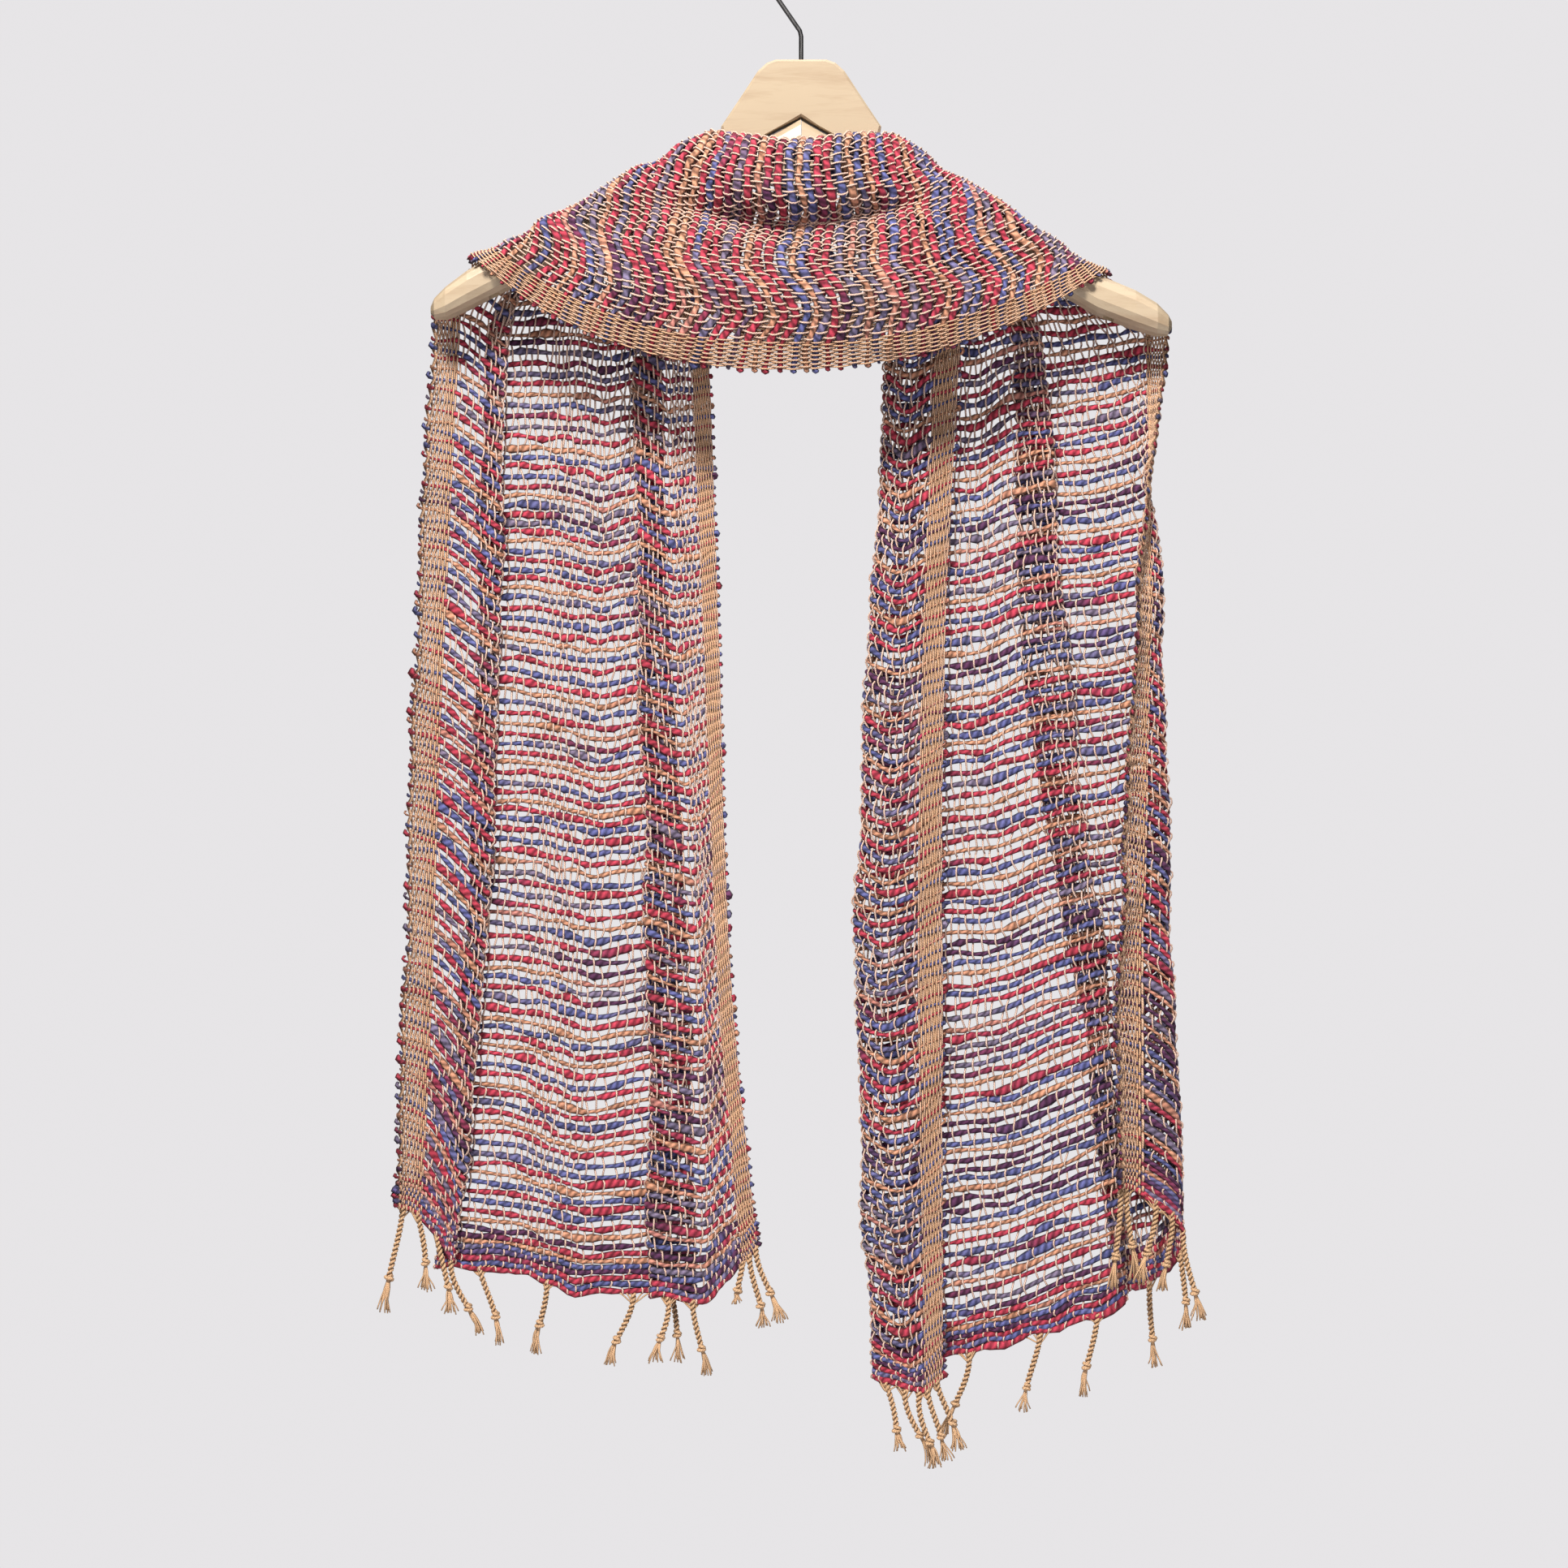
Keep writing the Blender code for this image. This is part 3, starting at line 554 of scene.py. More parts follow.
def slubs(seed, count, places, often):
    """Thick places in hand-spun yarn: 0 where it is plain, up to 1 in the middle of a slub."""
    rng = np.random.default_rng(seed)
    thick = np.zeros((count, places.shape[-1]))
    for k in range(count):
        for _ in range(rng.poisson(often)):
            middle, half = rng.uniform(0, CLOTH_WIDTH), rng.uniform(5, 17)
            size = rng.uniform(0.35, 1.0)
            thick[k] = np.maximum(thick[k], size * smooth(1.15 - np.abs(places[k] - middle) / half))
    return thick


def put(name, data):
    """A new object in the scene."""
    made = bpy.data.objects.new(name, data)
    bpy.context.scene.collection.objects.link(made)
    return made


class Threads:
    """The yarn of one piece, laid in batches of closed tubes and made into one mesh."""

    def __init__(self):
        self.points, self.colours, self.faces, self.kinds, self.places = [], [], [], [], []
        self.count = 0

    def add_faces(self, corners, kind, places):
        self.faces.append(corners.reshape(-1, corners.shape[-1]))
        self.kinds.append(np.full(len(self.faces[-1]), kind))
        self.places.append(places.reshape(-1, 2))

    def add(self, centre, side, normal, wide, thick, sides, colour, kind, shade):
        """centre, side and normal are yarns x points x 3 in mm; wide and thick are half sizes.

        The sides of each yarn get painted shade: their colour is darkened by the share given in shade,
        one for each yarn, as if shaded by the neighbouring fibres.
        """
        yarns, steps = centre.shape[:2]
        angle = 2.0 * math.pi * np.arange(sides) / sides
        ring = (centre[:, :, None]
                + side[:, :, None] * (wide[..., None] * np.cos(angle))[..., None]
                + normal[:, :, None] * (thick[..., None] * np.sin(angle))[..., None])
        index = self.count + np.arange(yarns * steps * sides).reshape(yarns, steps, sides)
        here, there = index[:, :-1], index[:, 1:]
        quads = np.stack([here, np.roll(here, -1, 2), np.roll(there, -1, 2), there], axis=-1)
        # Each corner's place on the thread: share of the way round it, and distance along it.
        length = np.linalg.norm(np.diff(centre, axis=1), axis=2) * MM
        length = np.concatenate([np.zeros((yarns, 1)), np.cumsum(length, axis=1)], axis=1)
        start, stop = length[:, :-1], length[:, 1:]
        around = (np.arange(sides)[:, None] + np.array((0, 1, 1, 0))) / sides
        along = np.stack([start, start, stop, stop], axis=-1)[:, :, None]
        places = np.stack([np.broadcast_to(part, quads.shape) for part in (around, along)], axis=-1)
        self.add_faces(quads, kind, places)
        caps = np.concatenate([index[:, 0, ::-1], index[:, -1]])
        self.add_faces(caps, kind, np.tile((0.5, 0.0), (caps.size, 1)))
        self.points.append(ring.reshape(-1, 3))
        # Painted shade: the colour darkens towards the yarn's sides.
        painted_side_shade = 1.0 - np.reshape(shade, (-1, 1, 1, 1)) * (np.cos(angle) ** 2)[:, None]
        colour = np.broadcast_to(colour[:, :, None], (yarns, steps, sides, 3)) * painted_side_shade
        self.colours.append(colour.reshape(-1, 3))
        self.count += yarns * steps * sides

    def make(self, name, materials):
        """The mesh: its vertex colour is the yarn's colour with painted shade on the threads' sides, its
        UV map is the place on the thread.
        """
        points = np.concatenate(self.points) * MM
        corners = np.concatenate([faces.reshape(-1) for faces in self.faces])
        sizes = np.concatenate([np.full(len(faces), faces.shape[1]) for faces in self.faces])
        colours = np.concatenate(self.colours)
        colours = np.concatenate([colours, np.ones((len(colours), 1))], axis=1)
        mesh = bpy.data.meshes.new(name)
        mesh.vertices.add(len(points))
        mesh.loops.add(len(corners))
        mesh.polygons.add(len(sizes))
        mesh.vertices.foreach_set("co", points.astype(np.float32).reshape(-1))
        mesh.loops.foreach_set("vertex_index", corners.astype(np.int32))
        mesh.polygons.foreach_set("loop_start", (np.cumsum(sizes) - sizes).astype(np.int32))
        mesh.polygons.foreach_set("material_index", np.concatenate(self.kinds).astype(np.int32))
        mesh.polygons.foreach_set("use_smooth", np.ones(len(sizes), dtype=bool))
        mesh.update(calc_edges=True)
        uv = mesh.uv_layers.new(name="thread").uv
        uv.foreach_set("vector", np.concatenate(self.places).astype(np.float32).reshape(-1))
        # The colour attribute holds the yarn's colour with its painted side shade.
        dye_and_side_shade = mesh.color_attributes.new(name="dye_and_side_shade", type="FLOAT_COLOR", domain="POINT").data
        dye_and_side_shade.foreach_set("color", colours.astype(np.float32).reshape(-1))
        for material in materials:
            mesh.materials.append(material)
        mesh.validate()
        return put(name, mesh)


def tube_frame(centre, normal):
    """Directions across each tube: one along the cloth's face, one square to it."""
    way = np.gradient(centre, axis=1)
    way /= np.linalg.norm(way, axis=2, keepdims=True)
    side = np.cross(normal, way)
    side /= np.linalg.norm(side, axis=2, keepdims=True)
    return side, np.cross(way, side)


def weave_lean(places, run):
    """How far along the cloth its folds pull each weft."""
    runs = cloth_surface()[2]
    left_top, right_top, total = runs[STEPS_A_STRETCH], runs[2 * STEPS_A_STRETCH], runs[-1]
    shift = 0.0
    for rows, below, length, way in ((LEFT_LEAN, left_top - run, left_top, -1.0),
                                     (RIGHT_LEAN, run - right_top, total - right_top, 1.0)):
        top, low = (table_line(places, rows, name, LEAN_SOFTNESS) for name in ("top", "low"))
        share = np.clip(below / length, 0.0, 1.0)
        fade = smooth(below / SHOULDER_FADE + 0.8) * smooth((length - below) / HEM_BAND)
        shift = shift + way * fade * (top + (low - top) * share)
    return shift + middle_share(run) * table_line(places, SWAG_LEAN, "right", LEAN_SOFTNESS)


def middle_share(run):
    """1 along the front swag and the shoulders' fronts, 0 along the hanging ends."""
    runs = cloth_surface()[2]
    enter = smooth((run - runs[STEPS_A_STRETCH]) / SHOULDER_REACH)
    return enter * smooth((runs[2 * STEPS_A_STRETCH] - run) / SHOULDER_REACH)


def weft_shifts(rows, places, near_hem):
    """How far each weft strays along the cloth from its own row."""
    lines = np.arange(len(rows))[:, None]
    shift = 0.8 * wander(3, places / 70.0, lines / 12.0)
    shift = shift + 0.5 * along_each(4, len(rows), places, 32.0)
    shift = shift * (1.0 - 0.3 * near_hem) + 1.1 * near_hem * wander(15, places / 26.0, lines / 9.0)
    return shift + weave_lean(places, rows[:, None])


def weft_sizes(rows, places, order, tied, near_hem, slub_often, yarn_swing):
    """Half thickness of each weft along its length, before it is pressed flat."""
    count = len(rows)
    half = np.array([SPUN[name]["half"] for name in order])[:, None]
    half = half * (1.0 + yarn_swing * along_each(6, count, places, 30.0))
    half = half * (1.0 + 0.5 * yarn_swing * along_each(7, count, places, 11.0))
    half = half + SLUB_SIZE * slubs(8, count, places, slub_often)
    # The yarn of the middle stretch is spun thicker, and each weft swells where it lies on top
    # of a warp and narrows where a warp ties it down.
    half = half * (1.0 + MIDDLE_SWELL * middle_share(rows)[:, None] + HEM_SWELL * near_hem)
    half = half * (1.0 + TIE_SWELL * tied)
    # The crowded warps of the selvedges squeeze the weft thin.
    inward = np.minimum(places, CLOTH_WIDTH - places)
    half = half * (SQUEEZED + (1.0 - SQUEEZED) * smooth((inward - SELVEDGE_WIDTH + 3.0) / 6.0))
    return np.clip(half, *WEFT_LIMITS)


@functools.cache
def woven(pitch, hem_pitch, slub_often, yarn_swing):
    """Where every weft and warp lies: the plan that all lengths of the cloth are woven from."""
    total = cloth_surface()[2][-1]
    warps = warp_places()
    rows = weft_places(total, pitch, hem_pitch)
    # Points along a weft: at every warp, and between warps where folds are tight.
    between = 0.5 * (warps[1:] + warps[:-1])
    extra = [place for place in between if any(low <= place <= high for low, high in TIGHT_FOLDS)]
    inside = np.array(sorted([*warps, *extra]))
    at_warp = np.searchsorted(inside, warps)
    places = np.broadcast_to(inside, (len(rows), len(inside)))
    near_hem = 1.0 - smooth(np.minimum(rows, total - rows)[:, None] / HEM_BAND)
    order = weft_order(middle_share(rows))
    # Plain weave: each weft dives under every other warp, and the next weft under the others.
    tied = np.zeros(places.shape)
    crossings = np.arange(len(rows))[:, None] + np.arange(len(warps))
    tied[:, at_warp] = np.where(crossings % 2 == 0, -1.0, 1.0)
    half = weft_sizes(rows, places, order, tied, near_hem, slub_often, yarn_swing)
    gap = np.diff(rows, prepend=rows[0] - hem_pitch, append=total + hem_pitch)
    return {"warps": warps, "rows": rows, "places": places, "at_warp": at_warp, "tied": tied,
            "order": order, "shift": weft_shifts(rows, places, near_hem),
            "wide": np.minimum(WEFT_WIDE * half, 0.33 * (gap[:-1] + gap[1:])[:, None]),
            "thick": np.minimum(WEFT_THICK * half, WEFT_THICKEST),
            "room": np.minimum(gap[:-1], gap[1:])[:, None]}


def weft_colours(plan, dyes):
    """Dye of every weft along its length: space-dyed yarns drift into a second colour."""
    places, order = plan["places"], plan["order"]
    count = len(order)
    lines = np.arange(count)[:, None]
    drift = wander(11, places / 130.0, lines / 14.0) + along_each(12, count, places, 120.0)
    ground = np.array([dyes[name] for name in order])[:, None]
    shade = np.array([dyes[SPUN[name]["shade"]] for name in order])[:, None]
    often = np.array([SPUN[name]["often"] for name in order])[:, None]
    share = smooth(0.9 * (often + 0.45 * drift) + 0.35)[..., None]
    colour = ground * (1.0 - share) + shade * share
    tone = 1.0 + 0.10 * along_each(13, count, places, 22.0) + 0.06 * along_each(14, count, lines, 9.0)
    return np.clip(colour * tone[..., None], 0.0, 1.0)


def lay_wefts(threads, plan, first, last, dyes):
    """The weft yarns from one row to another, their ends turned round the outer warps."""
    rng = np.random.default_rng(40 + first)
    rows = slice(first, last)
    count = last - first
    places, wide, thick = plan["places"][rows], plan["wide"][rows], plan["thick"][rows]
    run = plan["rows"][rows, None] + plan["shift"][rows]
    colour = weft_colours(plan, dyes)[rows]
    # Most ends lie tight round the edge, some are left as small loops; the middle's are tightest.
    size = rng.uniform(0.15, 0.6, (count, 1, 2)) + 0.8 * (rng.uniform(size=(count, 1, 2)) > 0.7)
    tight = middle_share(plan["rows"][rows])[:, None]
    size = size * (1.0 - 0.6 * tight[..., None])
    left, right = size[..., 0], size[..., 1]
    out, ends = END_TURN["out"], len(END_TURN["out"])
    step = END_TURN["step"] * plan["room"][rows] / TURN_PITCH
    swell = 1.0 + (END_TURN["swell"] - 1.0) * (1.0 - 0.75 * tight)
    height = np.tile(END_TURN["height"], (count, 1))

    def with_ends(at_left, inside, at_right):
        return np.concatenate([at_left[:, ::-1], inside, at_right], axis=1)

    places = with_ends(-out * left, places, CLOTH_WIDTH + out * right)
    run = with_ends(run[:, :1] + step * left, run, run[:, -1:] - step * right)
    wide = with_ends(swell * wide[:, :1], wide, swell * wide[:, -1:])
    thick = with_ends(swell * thick[:, :1], thick, swell * thick[:, -1:])
    # Wefts pass over and under the warps, but bend far less than the thin warps do.
    over = with_ends(height, WEFT_BEND * plan["tied"][rows], height)
    colour = with_ends(np.repeat(colour[:, :1], ends, 1), colour, np.repeat(colour[:, -1:], ends, 1))
    centre, normal = on_cloth(places, run)
    centre = centre + normal * over[..., None]
    side, up = tube_frame(centre, normal)
    threads.add(centre, side, up, wide, thick, WEFT_SIDES, colour, 0, WEFT_PAINTED_SHADE)


def lay_warps(threads, plan, first, last, warp_half, dyes):
    """The warp threads between two rows, bent over and under every weft."""
    warps, at_warp = plan["warps"], plan["at_warp"]
    edges = np.r_[0:SELVEDGE_WARPS, -SELVEDGE_WARPS:0]
    run = (plan["rows"][:, None] + plan["shift"][:, at_warp]).T
    face = -(plan["tied"] * (plan["thick"] + 0.85 * warp_half))[:, at_warp].T
    reach = np.minimum(0.55 * plan["wide"][:, at_warp], 0.2 * plan["room"]).T
    run = np.stack([run - reach, run + reach], axis=-1).reshape(len(warps), -1)
    face = np.repeat(face, 2, axis=1)
    # Both hems: the threads run a little past the outermost weft.
    run = np.concatenate([run[:, :1] - 1.0, run, run[:, -1:] + 1.0], axis=1)
    face = np.concatenate([0.3 * face[:, :1], face, 0.3 * face[:, -1:]], axis=1)
    low, high = 1 + 2 * first, 1 + 2 * last

    def cut(values):
        """This length's part of each thread, up to half way to the next length's first point."""
        half_way = 0.5 * (values[:, 1:] + values[:, :-1])
        start = values[:, :1] if first == 0 else half_way[:, low - 1:low]
        stop = values[:, -1:] if last == len(plan["rows"]) else half_way[:, high - 1:high]
        return np.concatenate([start, values[:, low:high], stop], axis=1)

    run, face = cut(run), cut(face)
    sway = 0.6 * along_each(17, len(warps), run, 45.0) + 0.4 * np.sign(face)
    sway[edges] *= EDGE_CALM
    places = warps[:, None] + sway
    centre, normal = on_cloth(places, run)
    centre = centre + normal * face[..., None]
    side, up = tube_frame(centre, normal)
    rng = np.random.default_rng(19)
    share = rng.uniform(0.0, 0.18, len(warps))
    share[edges] = rng.uniform(0.55, 1.0, len(edges))
    colour = dyes["warp"] * (1.0 - share[:, None]) + dyes["selvedge"] * share[:, None]
    colour = np.repeat(colour[:, None], run.shape[1], axis=1)
    # Painted shade on the warps' sides, deeper on the crowded edge warps.
    shade = np.full(len(warps), WARP_PAINTED_SHADE)
    shade[edges] = EDGE_PAINTED_SHADE
    # Edge warps spread where the surface is stretched, so that the bands stay closed.
    beside = on_cloth(places + 1.0, run)[0] - on_cloth(places - 1.0, run)[0]
    stretch = np.clip(0.5 * np.linalg.norm(beside, axis=2), 0.85, 1.7)
    half = np.full(run.shape, warp_half)
    half[edges] *= EDGE_WARP_SIZE * stretch[edges]
    threads.add(centre, side, up, half, half, WARP_SIDES, colour, 1, shade)


# Fringe.


def wind_ply(threads, path, half, pitch, phase, colour):
    """One ply of a cord: it winds round the path, its flanks given painted shade, as if shaded by the
    other ply.
    """
    across, front = path_frame(path)
    angle = 2.0 * math.pi * lengths_along(path) / pitch + phase
    outward = np.cos(angle)[:, None] * across + np.sin(angle)[:, None] * front
    ply = path + 1.05 * half * outward
    way = np.gradient(ply, axis=0)
    way /= np.linalg.norm(way, axis=1, keepdims=True)
    flank = np.cross(outward, way)
    flank /= np.linalg.norm(flank, axis=1, keepdims=True)
    size = np.full((1, len(path)), half)
    colour = np.broadcast_to(colour, (1, len(path), 3))
    threads.add(ply[None], flank[None], np.cross(way, flank)[None], size, size, 6, colour, 0, CORD_PAINTED_SHADE)


def path_frame(path):
    way = np.gradient(path, axis=0)
    way /= np.linalg.norm(way, axis=1, keepdims=True)
    across = np.cross(np.array((0.0, 1.0, 0.0)), way)
    across /= np.linalg.norm(across, axis=1, keepdims=True)
    return across, np.cross(way, across)


def add_strand(threads, path, half, sides, colour):
    """One loose strand or ply, thinner towards its end if half is a row of sizes."""
    across, front = path_frame(path)
    half = np.broadcast_to(half, (1, len(path)))
    colour = np.broadcast_to(np.array(colour), (1, len(path), 3))
    threads.add(path[None], across[None], front[None], half, half, sides, colour, 0, CORD_PAINTED_SHADE)


def tie_tassel(threads, root, cord, sizes, colour, rng):
    """A two-ply cord with a knot two thirds of the way down and a frayed tuft below it."""
    share = np.linspace(0.0, 1.0, 90)
    lean = smooth(share)
    bend = rng.uniform(-1.6, 1.6) * np.sin(math.pi * share * rng.uniform(1.0, 1.8))
    fall = CORD_SUNK - (CORD_SUNK + STRIP_DEPTH + cord["length"]) * share
    sideways, forward = cord["swing"] * lean + bend, cord["forward"] * lean + 0.4 * bend
    path = root + np.stack([sideways, forward, fall], axis=-1)
    knot = int(rng.uniform(0.60, 0.70) * len(path))
    cordage = path[:knot + 1]
    run = lengths_along(cordage)
    steps = max(12, int(run[-1] / CORD_STEP))
    cordage = at_places(cordage, run, np.linspace(0.0, run[-1], steps))
    ply, pitch = PLY_HALF * sizes.cord_width / MM, sizes.cord_twist / MM
    for phase in (0.0, math.pi):
        wind_ply(threads, cordage, ply, pitch, phase, colour * rng.uniform(0.92, 1.06))
    # The knot: the cord's own turns, pulled tight and a little askew.
    turns = np.linspace(0.0, 1.0, 30)
    down = (0.5 - turns) * KNOT_HEIGHT
    axis = path[knot] + np.stack([0.5 * np.sin(9.0 * turns), 0.0 * turns, down], axis=-1)
    size = ply * rng.uniform(1.5, 1.8)
    angle = 2.0 * math.pi * KNOT_TURNS * turns + rng.uniform(0.0, 6.3)
    coil = axis + size * np.stack([np.cos(angle), np.sin(angle), 0.5 * np.sin(0.5 * angle)], axis=-1)
    add_strand(threads, coil, 1.15 * ply, 6, colour * 0.97)
    # The tuft: warp ends let out of the twist.
    rest = path[knot:]
    rest = rest[np.linspace(0, len(rest) - 1, TUFT_POINTS).astype(int)]
    fall = np.linspace(0.0, 1.0, TUFT_POINTS)
    half = TUFT_END_HALF * (1.0 - 0.35 * fall)
    for _ in range(int(sizes.tuft_ends)):
        aim = np.clip(rng.normal(0.0, 1.0, 2), -1.8, 1.8) * TUFT_SPREAD
        curl = rng.normal(0.0, 0.5)
        opened = fall ** rng.uniform(1.1, 1.8)
        off = np.stack([aim[0] * opened + curl * np.sin(5.0 * fall), aim[1] * opened,
                        rng.uniform(-1.0, 2.5) * fall], axis=-1)
        off[0, :2] = rng.uniform(-0.6, 0.6, 2)
        add_strand(threads, rest + off, half, 4, colour * rng.uniform(0.9, 1.12))


def gather_ends(threads, run, u, root, colour, rng):
    """Warp ends that run together from the hem into the root of a tassel."""
    share = np.linspace(0.0, 1.0, 6)
    # They leave the weave a little above its edge.
    inward = GATHER_ABOVE * (1.0 - share)
    if run > 0.0:
        inward = -inward
    for step in GATHERED:
        start = np.clip(u + step + rng.uniform(-1.0, 1.0), 1.0, CLOTH_WIDTH - 1.0)
        point, normal = on_cloth(start + (u - start) * share, run + inward)
        path = point + normal * (0.9 * rng.choice((-1.0, 1.0)) * (1.0 - share))[:, None]
        path[:, 2] -= STRIP_DEPTH * smooth(share)
        path[-1] = root + np.array((0.0, 0.0, -STRIP_DEPTH))
        add_strand(threads, path, 0.5, 4, colour * rng.uniform(0.95, 1.1))


# Finishes.


def add_node(tree, kind, settings=(), links=()):
    """Adds a node: settings are its own options or its sockets' values, links come from sockets."""
    node = tree.nodes.new("ShaderNode" + kind)
    for name, value in dict(settings).items():
        if isinstance(name, str) and hasattr(node, name):
            setattr(node, name, value)
        else:
            node.inputs[name].default_value = value
    return plug(tree, node, links)


def plug(tree, node, links):
    for name, source in dict(links).items():
        tree.links.new(source, node.inputs[name])
    return node


def new_finish(name, settings):
    material = bpy.data.materials.new(name)
    material.use_nodes = True
    shader = material.node_tree.nodes["Principled BSDF"]
    for socket, value in settings.items():
        shader.inputs[socket].default_value = value
    return material, material.node_tree, shader


def laid_texture(tree, kind, source, lie, settings):
    """A pattern that is turned and scaled, as lie says, before it is laid on the source's places."""
    mapping = add_node(tree, "Mapping", lie, {"Vector": source})
    return add_node(tree, kind, settings, {"Vector": mapping.outputs["Vector"]})


def two_tones(tree, pattern, low, dark, high, pale):
    """Shades a pattern from a dark colour, where it is low, to a pale one where it is high."""
    tint = add_node(tree, "ValToRGB", (), {"Fac": pattern})
    ramp = tint.color_ramp.elements
    ramp[0].position, ramp[0].color = low, (*dark, 1.0)
    ramp[1].position, ramp[1].color = high, (*pale, 1.0)
    return tint.outputs["Color"]


def spun_cotton(name, twist_mm, fibre_mm, bump_mm, sheen, painted_groove_darkest):
    """Cotton spun by hand and dyed in the yarn: a matt, faintly hairy thread whose twist shows as
    slanting ridges, with painted shade in the grooves between the plies, a painted highlight on the
    ridges and fibre streaks of random tone. The colour comes from the thread's colour attribute,
    which also holds the painted shade of the thread's sides."""
    material, tree, shader = new_finish(name, {
        "Roughness": 0.88, "IOR": 1.5, "Specular IOR Level": 0.25,
        "Sheen Weight": sheen, "Sheen Roughness": 0.45,
    })
    # The thread's colour attribute, which holds its painted side shade.
    dye_and_side_shade = add_node(tree, "Attribute", {"attribute_name": "dye_and_side_shade"})
    thread = add_node(tree, "UVMap", {"uv_map": "thread"}).outputs["UV"]
    # Two plies: the bands go twice round the thread while they climb one twist.
    twist = laid_texture(tree, "TexWave", thread,
                         {"Scale": (0.4 * math.pi, 0.2 * math.pi / (twist_mm * MM), 1.0)},
                         {"bands_direction": "DIAGONAL", "Scale": 1.0, "Distortion": 0.8, "Detail": 1.0})
    # Fibres lie along the thread: streaks several times longer than wide.
    fibre = laid_texture(tree, "TexNoise", thread,
                         {"Scale": (6.0, 1.0 / (4.0 * fibre_mm * MM), 1.0)},
                         {"Scale": 1.0, "Detail": 3.0, "Roughness": 0.7})
    relief = add_node(tree, "Math", {"operation": "MULTIPLY_ADD", 1: 0.7},
                      {0: twist.outputs["Fac"], 2: fibre.outputs["Fac"]})
    # Painted shade and highlight: the colour is darkened down to the darkest share in the twist's
    # grooves between the plies and painted lighter, up to 1.25, on its ridges; the fibre streaks vary it
    # at random.
    tone = add_node(tree, "MapRange", {
        "From Min": 0.35, "From Max": 1.25, "To Min": painted_groove_darkest, "To Max": 1.25},
        {"Value": relief.outputs["Value"]})
    colour = add_node(tree, "HueSaturation", (), {
        "Color": dye_and_side_shade.outputs["Color"], "Value": tone.outputs["Result"]})
    bump = add_node(tree, "Bump", {"Strength": 0.7, "Distance": bump_mm * MM},
                    {"Height": relief.outputs["Value"]})
    plug(tree, shader, {"Base Color": colour.outputs["Color"], "Normal": bump.outputs["Normal"]})
    return material


def lacquered_beech(name, pale, grain, slant):
    """Pale hardwood, sanded and sprayed with satin lacquer: long darker growth lines under a soft
    clear gloss, with short pores that follow them."""
    material, tree, shader = new_finish(name, {
        "Roughness": 0.42, "IOR": 1.5, "Coat Weight": 0.25, "Coat Roughness": 0.25,
    })
    place = add_node(tree, "TexCoord").outputs["Object"]
    turned = (0.0, slant, 0.0)
    # Growth lines about 7 mm apart across the grain and ten times as long.
    rings = laid_texture(tree, "TexNoise", place,
                         {"Rotation": turned, "Scale": (14.0, 90.0, 150.0)},
                         {"Scale": 0.9, "Detail": 4.0, "Roughness": 0.55, "Distortion": 0.6})
    # Pores about 0.6 mm wide and 8 mm long.
    pores = laid_texture(tree, "TexNoise", place,
                         {"Rotation": turned, "Scale": (120.0, 1600.0, 1600.0)},
                         {"Scale": 1.0, "Detail": 2.0, "Roughness": 0.5})
    both = add_node(tree, "Math", {"operation": "MULTIPLY_ADD", 1: 0.25},
                    {0: pores.outputs["Fac"], 2: rings.outputs["Fac"]}).outputs["Value"]
    bump = add_node(tree, "Bump", {"Strength": 0.15, "Distance": 0.1 * MM}, {"Height": both})
    tone = two_tones(tree, both, 0.42, grain, 0.66, pale)
    plug(tree, shader, {"Base Color": tone, "Normal": bump.outputs["Normal"]})
    return material


def drawn_steel(name, colour):
    """Steel wire, drawn and zinc plated: a grey metal, brighter in fine lines along the wire."""
    material, tree, shader = new_finish(name, {"Metallic": 1.0, "Roughness": 0.3})
    place = add_node(tree, "TexCoord").outputs["Object"]
    # Drawing lines are finer than the render shows, so they are drawn 0.4 mm apart.
    scored = laid_texture(tree, "TexNoise", place, {"Scale": (2500.0, 2500.0, 120.0)},
                          {"Scale": 1.0, "Detail": 2.0}).outputs["Fac"]
    rough = add_node(tree, "MapRange", {"To Min": 0.22, "To Max": 0.4}, {"Value": scored})
    dull = [0.6 * part for part in colour]
    tone = two_tones(tree, scored, 0.3, dull, 0.7, colour)
    plug(tree, shader, {"Base Color": tone, "Roughness": rough.outputs["Result"]})
    return material


def painted_floor(name, colour):
    """Matt floor paint, rolled on: flat and pale, with a barely seen roller stipple."""
    material, tree, shader = new_finish(name, {"Roughness": 0.9, "Specular IOR Level": 0.1})
    place = add_node(tree, "TexCoord")
    stipple = add_node(tree, "TexNoise", {"Scale": 400.0, "Detail": 2.0},
                       {"Vector": place.outputs["Object"]})
    shaded = [0.97 * part for part in colour]
    tone = two_tones(tree, stipple.outputs["Fac"], 0.0, shaded, 1.0, colour)
    plug(tree, shader, {"Base Color": tone})
    return material


# Settings in the panel.


def colour_setting(name, description, code):
    return bpy.props.FloatVectorProperty(
        name=name, description=description, default=linear(code), subtype="COLOR", size=3,
        min=0.0, max=1.0)


def size_setting(name, description, default):
    return bpy.props.FloatProperty(
        name=name, description=description, default=default * MM, min=0.0, precision=5,
        subtype="DISTANCE", unit="LENGTH")


